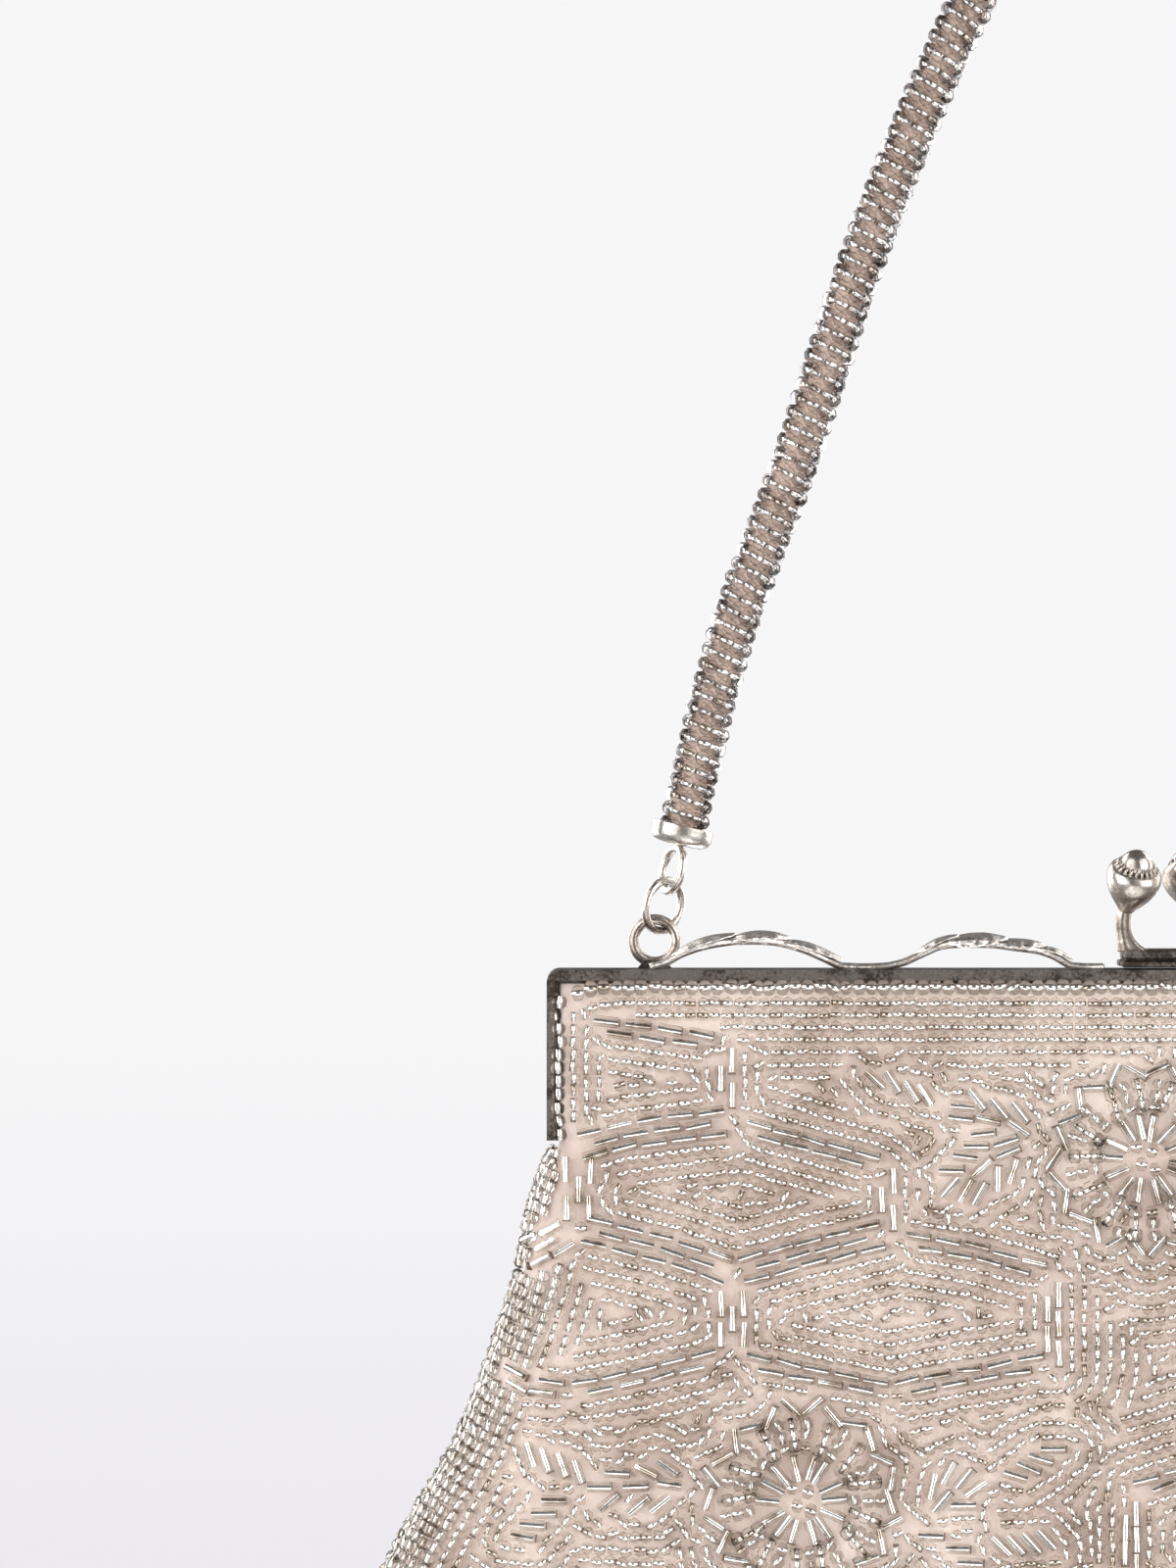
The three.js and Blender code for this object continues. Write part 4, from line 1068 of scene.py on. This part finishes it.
# The frame: two halves of thin silver plate, each a rail with two arms and a sewing flange inside, riveted
# together at the arms' ends. The plate has gone grey-brown, and paler where hands and the clasp rub it.
def tarnish_group():
    """Silver that has aged: two noises, a broad one and a fine one, mix a bright and a dark tone. Shine is
    0 for all tarnish and 1 for all bright, and the roughness runs from Smooth where it is bright to Rough.
    Out come the colour, the roughness and a height for Bump."""
    group = bpy.data.node_groups.new("tarnish", "ShaderNodeTree")
    for name, kind, value in (
        ("Bright", "NodeSocketColor", (0.8, 0.77, 0.73, 1)),
        ("Dark", "NodeSocketColor", (0.2, 0.15, 0.11, 1)),
        ("Shine", "NodeSocketFloat", 0.5),
        ("Scale", "NodeSocketFloat", 300.0),
        ("Smooth", "NodeSocketFloat", 0.2),
        ("Rough", "NodeSocketFloat", 0.48),
    ):
        socket = group.interface.new_socket(name=name, in_out="INPUT", socket_type=kind)
        socket.default_value = value
    for name, kind in (
        ("Color", "NodeSocketColor"),
        ("Roughness", "NodeSocketFloat"),
        ("Height", "NodeSocketFloat"),
    ):
        group.interface.new_socket(name=name, in_out="OUTPUT", socket_type=kind)
    nodes, links = group.nodes, group.links
    given, out = nodes.new("NodeGroupInput"), nodes.new("NodeGroupOutput")
    place = nodes.new("ShaderNodeTexCoord")
    broad, fine = nodes.new("ShaderNodeTexNoise"), nodes.new("ShaderNodeTexNoise")
    broad.inputs["Detail"].default_value = 5
    broad.inputs["Roughness"].default_value = 0.65
    fine.inputs["Scale"].default_value = 2400
    fine.inputs["Detail"].default_value = 3
    links.new(place.outputs["Object"], broad.inputs["Vector"])
    links.new(place.outputs["Object"], fine.inputs["Vector"])
    links.new(given.outputs["Scale"], broad.inputs["Scale"])
    both = nodes.new("ShaderNodeMix")
    both.inputs["Factor"].default_value = 0.3
    links.new(broad.outputs["Fac"], both.inputs["A"])
    links.new(fine.outputs["Fac"], both.inputs["B"])
    spread = nodes.new("ShaderNodeMapRange")
    spread.inputs["From Min"].default_value = 0.36
    spread.inputs["From Max"].default_value = 0.64
    spread.inputs["To Min"].default_value = -0.5
    spread.inputs["To Max"].default_value = 0.5
    links.new(both.outputs["Result"], spread.inputs["Value"])
    polished = nodes.new("ShaderNodeMath")
    polished.use_clamp = True
    links.new(spread.outputs["Result"], polished.inputs[0])
    links.new(given.outputs["Shine"], polished.inputs[1])
    tone = nodes.new("ShaderNodeMix")
    tone.data_type = "RGBA"
    links.new(polished.outputs[0], tone.inputs["Factor"])
    links.new(given.outputs["Dark"], tone.inputs["A"])
    links.new(given.outputs["Bright"], tone.inputs["B"])
    links.new(tone.outputs["Result"], out.inputs["Color"])
    dull = nodes.new("ShaderNodeMapRange")
    links.new(given.outputs["Rough"], dull.inputs["To Min"])
    links.new(given.outputs["Smooth"], dull.inputs["To Max"])
    links.new(polished.outputs[0], dull.inputs["Value"])
    links.new(dull.outputs["Result"], out.inputs["Roughness"])
    links.new(both.outputs["Result"], out.inputs["Height"])
    return group


tarnish = tarnish_group()


def aged_silver(name, bright, dark, shine, scale, relief, smooth=0.2, rough=0.48):
    """Silver plate with the tarnish group's colour, roughness and relief in millimetres."""
    material = bpy.data.materials.new(name)
    material.use_nodes = True
    tree = material.node_tree
    shader = tree.nodes["Principled BSDF"]
    shader.inputs["Metallic"].default_value = 1
    age = tree.nodes.new("ShaderNodeGroup")
    age.node_tree = tarnish
    age.inputs["Bright"].default_value = (*bright, 1)
    age.inputs["Dark"].default_value = (*dark, 1)
    age.inputs["Shine"].default_value = shine
    age.inputs["Scale"].default_value = scale
    age.inputs["Smooth"].default_value = smooth
    age.inputs["Rough"].default_value = rough
    bump = tree.nodes.new("ShaderNodeBump")
    bump.inputs["Distance"].default_value = relief * 0.001
    tree.links.new(age.outputs["Color"], shader.inputs["Base Color"])
    tree.links.new(age.outputs["Roughness"], shader.inputs["Roughness"])
    tree.links.new(age.outputs["Height"], bump.inputs["Height"])
    tree.links.new(bump.outputs["Normal"], shader.inputs["Normal"])
    return material


plate = aged_silver("tarnished_plate", (0.68, 0.6, 0.54), (0.07, 0.054, 0.046), 0.2, 200, 0.1)
for name in ("front_frame", "back_frame", "hinge_pin_left", "hinge_pin_right"):
    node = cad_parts[name]
    node.data.materials.clear()
    node.data.materials.append(plate)


# The scroll on each side of the front rail: a narrow ribbon of silver that rises in two waves, with a row
# of cast leaves soldered over its crests, each leaf's tip lying on the foot of the next one.
SCROLL_RUN = 55.4
SCROLL_PATH = [  # share of the run, height over the rail, half width and thickness, in millimetres
    (-0.012, 0.26, 0.84, 0.84), (0.02, 0.68, 0.98, 0.84), (0.056, 1.88, 1.15, 0.84), (0.09, 2.63, 1.61, 0.92),
    (0.125, 3.15, 1.99, 1.0), (0.16, 3.41, 1.4, 0.92), (0.176, 3.49, 1.15, 0.84), (0.2, 3.68, 1.99, 1.16),
    (0.229, 3.75, 2.2, 1.28), (0.262, 3.56, 1.78, 1.08), (0.289, 3.15, 1.07, 0.84), (0.315, 2.85, 1.74, 1.0),
    (0.342, 2.33, 1.78, 1.0), (0.38, 1.28, 1.36, 0.84), (0.411, 0.41, 1.15, 0.84), (0.45, 0.3, 1.57, 0.84),
    (0.485, 0.3, 1.15, 0.84), (0.52, 0.41, 1.05, 0.84), (0.5545, 0.86, 1.15, 0.84), (0.593, 1.88, 1.26, 0.84),
    (0.629, 2.85, 1.36, 0.92), (0.66, 3.26, 1.89, 1.16), (0.7, 3.41, 2.2, 1.4), (0.735, 3.38, 1.89, 1.32),
    (0.765, 3.11, 1.26, 1.0), (0.8, 2.85, 1.89, 1.08), (0.835, 2.59, 1.68, 1.0), (0.86, 2.25, 1.05, 0.8),
    (0.89, 1.65, 0.94, 0.8), (0.924, 0.45, 1.15, 0.84), (0.96, 0.3, 1.4, 0.84), (1.0, 0.3, 0.94, 0.84),
]
LEAVES = [  # start and end as shares of the run, half width, thickness and droop in millimetres
    (0.035, 0.185, 2.3, 0.5, 0.6),
    (0.165, 0.3, 2.5, 0.55, 0.8),
    (0.285, 0.42, 2.0, 0.5, 0.55),
    (0.575, 0.68, 1.8, 0.45, 0.4),
    (0.645, 0.785, 2.5, 0.6, 1.5),
    (0.755, 0.865, 2.2, 0.5, 1.0),
    (0.845, 0.93, 1.4, 0.45, 0.4),
]


def scroll_place(share):
    """Place, across the run and up, of the ribbon's middle at shares of the run, and its upward normal."""
    run, height, _, _ = np.array(SCROLL_PATH).T
    fine = np.linspace(run[0], run[-1], 400)
    smooth = np.interp(fine, run, height)
    for _ in range(12):
        smooth[1:-1] = (smooth[:-2] + 2 * smooth[1:-1] + smooth[2:]) / 4
    slope = np.gradient(smooth, fine * SCROLL_RUN)
    x = share * SCROLL_RUN
    z = np.interp(share, fine, smooth)
    tilt = np.interp(share, fine, slope)
    up = np.stack([-tilt, np.ones_like(tilt)], -1) / np.hypot(tilt, 1)[..., None]
    return x, z, up


def closed_loft(rings):
    """Points, corners and face sizes of a body through closed rings, with a flat face at each end."""
    rows, columns = rings.shape[:2]
    faces = grid_faces(rows, columns, closed=True)
    first, last = np.arange(columns)[::-1], np.arange(columns) + (rows - 1) * columns
    corners = np.concatenate([faces.ravel(), first, last])
    return rings.reshape(-1, 3), corners, [4] * len(faces) + [columns] * 2


def joined(bodies):
    """Several bodies as one: points, corners and face sizes in a row."""
    points, corners, sizes, count = [], [], [], 0
    for p, c, n in bodies:
        points.append(p)
        corners.append(np.asarray(c) + count)
        sizes.append(n)
        count += len(p)
    return np.vstack(points), np.concatenate(corners), np.concatenate(sizes)


def ribbon_rings(share, half_width, thickness, lift, cup):
    """Rings of a strip laid along the scroll: an ellipse-like section that is half_width to each side and
    thickness high, lifted above the ribbon's middle, its edges curled up by cup times the square of the
    place across."""
    angle = np.arange(16) / 16 * 2 * np.pi
    y = np.sign(np.cos(angle)) * np.abs(np.cos(angle)) ** 0.6
    h = np.sin(angle)
    x, z, up = scroll_place(share)
    high = lift[:, None] + thickness[:, None] / 2 * h[None] + cup[:, None] * y[None] ** 2
    return np.stack(
        [
            x[:, None] + up[:, :1] * high,
            -half_width[:, None] * y[None],
            z[:, None] + up[:, 1:] * high,
        ],
        -1,
    )


run, _, ribbon_width, ribbon_thickness = np.array(SCROLL_PATH).T
share = np.linspace(run[0], run[-1], 116)
body = [
    closed_loft(
        ribbon_rings(
            share,
            np.interp(share, run, ribbon_width) + 0.08,
            np.interp(share, run, ribbon_thickness) + 0.12,
            np.zeros(len(share)),
            np.zeros(len(share)),
        )
    )
]
for start, end, width, thickness, droop in LEAVES:
    u = np.linspace(0.012, 0.988, 21)
    belly = np.sin(np.pi * u**0.85) ** 0.6
    ribs = 1 + 0.1 * np.cos(u * 2 * np.pi * 4)
    body.append(
        closed_loft(
            ribbon_rings(
                start + (end - start) * u,
                width * belly * ribs,
                thickness * (0.35 + 0.65 * belly),
                0.25 + 0.55 * thickness * belly + 0.6 * u,
                -droop * belly,
            )
        )
    )
points, corners, sizes = joined(body)
cast_silver = aged_silver("cast_silver", (0.97, 0.93, 0.89), (0.24, 0.18, 0.13), 0.68, 420, 0.2, 0.3, 0.58)
for side, name in ((-1, "left"), (1, "right")):
    x = side * (LUG_X - points[:, 0])
    place = np.stack([x, points[:, 1] - 5.15, points[:, 2]], 1) * 0.001 + [0, 0, HANG]
    turned_corners = corners if side > 0 else corners[::-1]
    turned_sizes = sizes if side > 0 else sizes[::-1]
    scroll = mesh_piece(f"scroll_{name}", place, turned_corners, turned_sizes, [cast_silver])
    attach(scroll, "root")


# The links at each end of the strap: a ring of thick wire brazed to the rail, a jump ring through it, and
# through that the eye under the silver cup that holds the strap's end.
PULL = np.radians(14)
RINGS = {  # height of the middle up the line of pull, radius, wire radius, turn from the front in degrees
    "lug": (0.0, 2.65, 0.66, 0),
    "jump": (4.48, 3.18, 0.53, 47),
    "eye": (9.16, 2.75, 0.53, -66),
}
LUG_CENTRE = 3.4
CUP_UNDERSIDE = 12.26
CUP = [  # radius and height of the outline, up the outside and down the inside
    (0.02, 0.0), (1.6, 0.02), (2.7, 0.12), (3.25, 0.3), (3.62, 0.65), (3.8, 1.1), (3.84, 1.6), (3.86, 2.2),
    (3.88, 2.42), (3.8, 2.52), (3.6, 2.5), (3.42, 2.36), (3.38, 1.6), (3.3, 0.75), (2.6, 0.6), (0.02, 0.58),
]


def torus(radius, wire, turn, height, steps=40, sides=12):
    """A ring of round wire standing in the XZ plane, turned about Z and raised."""
    a = (np.arange(steps) / steps * 2 * np.pi)[:, None]
    b = (np.arange(sides) / sides * 2 * np.pi)[None]
    out = radius + wire * np.cos(b)
    flat = out * np.cos(a)
    angle = np.radians(turn)
    points = np.stack(
        [
            flat * np.cos(angle) - wire * np.sin(b) * np.sin(angle),
            flat * np.sin(angle) + wire * np.sin(b) * np.cos(angle),
            out * np.sin(a) + height,
        ],
        -1,
    )
    ring = np.vstack([points, points[:1]])
    faces = grid_faces(steps + 1, sides, closed=True) % (steps * sides)
    return ring[:-1].reshape(-1, 3), faces.ravel(), [4] * len(faces)


def swung(points, axis, angle):
    """Points turned by an angle about an axis through the origin (0, 1 or 2): of the two other coordinates,
    the next one after the axis turns towards the one after that."""
    a, b = (axis + 1) % 3, (axis + 2) % 3
    out = np.array(points, float)
    out[:, a] = points[:, a] * np.cos(angle) - points[:, b] * np.sin(angle)
    out[:, b] = points[:, a] * np.sin(angle) + points[:, b] * np.cos(angle)
    return out


def turned_round(outline, steps):
    """A closed body of revolution about Z from an outline of radii and heights."""
    radius, height = np.array(outline, float).T
    angle = (np.arange(steps) / steps * 2 * np.pi)[None]
    rings = np.stack(
        [radius[:, None] * np.cos(angle), radius[:, None] * np.sin(angle), height[:, None] + 0 * angle], -1
    )
    return closed_loft(rings)


lug_silver = aged_silver("lug_silver", (0.7, 0.63, 0.57), (0.17, 0.125, 0.095), 0.5, 330, 0.08)
bright_plate = aged_silver("bright_plate", (0.76, 0.72, 0.68), (0.3, 0.24, 0.19), 0.68, 330, 0.08)
cup_points, cup_corners, cup_sizes = turned_round(CUP, 48)
cup = (cup_points + [0, 0, CUP_UNDERSIDE], cup_corners, cup_sizes)
link_rings = {name: torus(radius, wire, turn, up) for name, (up, radius, wire, turn) in RINGS.items()}
for side, name in ((-1, "left"), (1, "right")):
    for piece_name, bodies, node, finish in (
        (f"lug_ring_{name}", [link_rings["lug"]], None, lug_silver),
        (f"jump_ring_{name}_wire", [link_rings["jump"]], f"jump_ring_{name}", bright_plate),
        (f"strap_cup_{name}", [link_rings["eye"], cup], f"strap_cap_{name}", bright_plate),
    ):
        points, corners, sizes = joined(bodies)
        leaning = swung(points, 1, PULL) * [-side, -side, 1]
        place = (leaning + [side * LUG_X, 0, LUG_CENTRE]) * 0.001 + [0, 0, HANG]
        link = mesh_piece(piece_name, place, corners, sizes, [finish])
        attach(link, "root")
        if node:
            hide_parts(node)


# The kiss clasp: two halves, each a folded foot soldered to its rail, a fluted stem bent up from the foot's
# end, and a hollow bud. A polished ball is set in the bud's mouth and held by a ring of small claws.
CLASP_FOOT = [  # outline of foot and bar from the front, across and up, and their half depths
    (5.2, 0.3, 1.05, 1.95),
    (4.85, 1.0, 1.32, 1.7),
    (4.85, 1.3, 2.45, 1.6),
]
KNOB = [  # radius and height along the bud's axis
    (0.05, -0.05), (1.0, 0.0), (1.15, 0.3), (1.55, 0.8), (2.1, 1.5), (2.65, 2.35), (3.08, 3.2), (3.34, 4.0),
    (3.43, 4.7), (3.36, 5.3), (3.12, 5.75), (2.75, 6.02), (2.42, 6.1), (2.2, 6.0), (0.05, 5.8),
]
BALL_RADIUS = 2.05
BALL_HEIGHT = 6.35
CLAWS = 22
KNOB_LEAN = np.radians(11)
CLAW_TILT = 0.55
KNOB_NOD = np.radians(28)  # towards the half's own side
NECK = np.array([-4.49, -0.7, 7.35])
CLASP_BACK = 2.575  # from the line between the halves to the middle of each foot
STEM_X = -4.3
STEM_FOOT = 2.2
STEM_SECTIONS = 24
STEM_HALF_WIDTH = 0.95


def slab(half_x, low, high, half_y, edge=0.16):
    """A plate with rounded edges: rings up its height, each a rectangle with cut corners."""
    rings = []
    for height, inset in ((low, edge), (low + edge, 0), (high - edge, 0), (high, edge)):
        x, y, c = half_x - inset, half_y - inset, edge
        right = [(x - c, -y), (x, -y + c), (x, y - c), (x - c, y)]
        left = [(c - x, y), (-x, y - c), (-x, c - y), (c - x, -y)]
        rings.append([(a, b, height) for a, b in right + left])
    return closed_loft(np.array(rings))


bodies = []
for half_x, low, high, half_y in CLASP_FOOT:
    slab_points, slab_corners, slab_sizes = slab(half_x, low, high, half_y)
    bodies.append((slab_points + [0, -CLASP_BACK, 0], slab_corners, slab_sizes))
plate_faces = len(joined(bodies)[2])
# The stem: a ribbed strip whose middle runs from the bar's end to the neck, wider at its root
t = np.linspace(0, 1, STEM_SECTIONS)
ease = t * t * (3 - 2 * t)
bow = -0.45 * np.sin(np.pi * t)
middle = np.stack(
    [
        STEM_X + (NECK[0] - STEM_X) * ease + bow,
        -CLASP_BACK + (NECK[1] + CLASP_BACK) * ease,
        STEM_FOOT + (NECK[2] + 0.35 - STEM_FOOT) * t,
    ],
    1,
)
angle = np.arange(32) / 32 * 2 * np.pi
spread = 1 + 0.5 * (1 - t) ** 5
flutes = 1 + 0.12 * np.cos(7 * angle)
rounded_x = np.sign(np.cos(angle)) * np.abs(np.cos(angle)) ** 0.7
rounded_y = np.sign(np.sin(angle)) * np.abs(np.sin(angle)) ** 0.7
x = spread[:, None] * STEM_HALF_WIDTH * rounded_x[None]
y = 0.6 * rounded_y * flutes * np.ones((STEM_SECTIONS, 1))
root = 1.1 * np.clip(x / STEM_HALF_WIDTH, 0, 2) * (1 - t[:, None]) ** 6
rings = np.stack([middle[:, :1] + x + root, middle[:, 1:2] + y, middle[:, 2:] + 0 * x], -1)
stem = closed_loft(rings)
# The bud, the ball and the claws, drawn upright and then leaned
bud = turned_round(KNOB, 44)
v = np.linspace(-np.pi / 2 + 0.05, np.pi / 2 - 0.05, 18)
ball_outline = np.stack([BALL_RADIUS * np.cos(v), BALL_HEIGHT + BALL_RADIUS * 0.94 * np.sin(v)], 1)
claw = np.array([[x, y, z] for z in (-0.5, 0.5) for x, y in CORNERS]) * [0.17, 0.3, 1.0]
claw[4:, :2] *= [0.5, 0.6]
claw = swung(claw, 0, -CLAW_TILT) + [0, -2.3, 6.28]
tops = [bud, turned_round(ball_outline, 36)]
for turn in np.arange(CLAWS) / CLAWS * 2 * np.pi:
    tops.append((swung(claw, 2, turn), BOX_FACES.ravel(), [4] * 6))
top_points, top_corners, top_sizes = joined(tops)
top = (swung(swung(top_points, 0, KNOB_NOD), 1, KNOB_LEAN) + NECK, top_corners, top_sizes)
points, corners, sizes = joined([*bodies, stem, top])
of_foot = np.arange(len(sizes)) < plate_faces
clasp_silver = aged_silver("clasp_silver", (0.72, 0.67, 0.62), (0.2, 0.15, 0.11), 0.55, 330, 0.08)
for name, side in (("front", 1), ("back", -1)):
    place = points * [side, side, 1] * 0.001 + [0, BACK_OF_ORIGIN, HANG]
    finishes = [clasp_silver, plate]
    half_clasp = mesh_piece(f"clasp_{name}_half", place, corners, sizes, finishes, of_foot, ~of_foot)
    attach(half_clasp, "root")
    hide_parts(f"{name}_clasp")
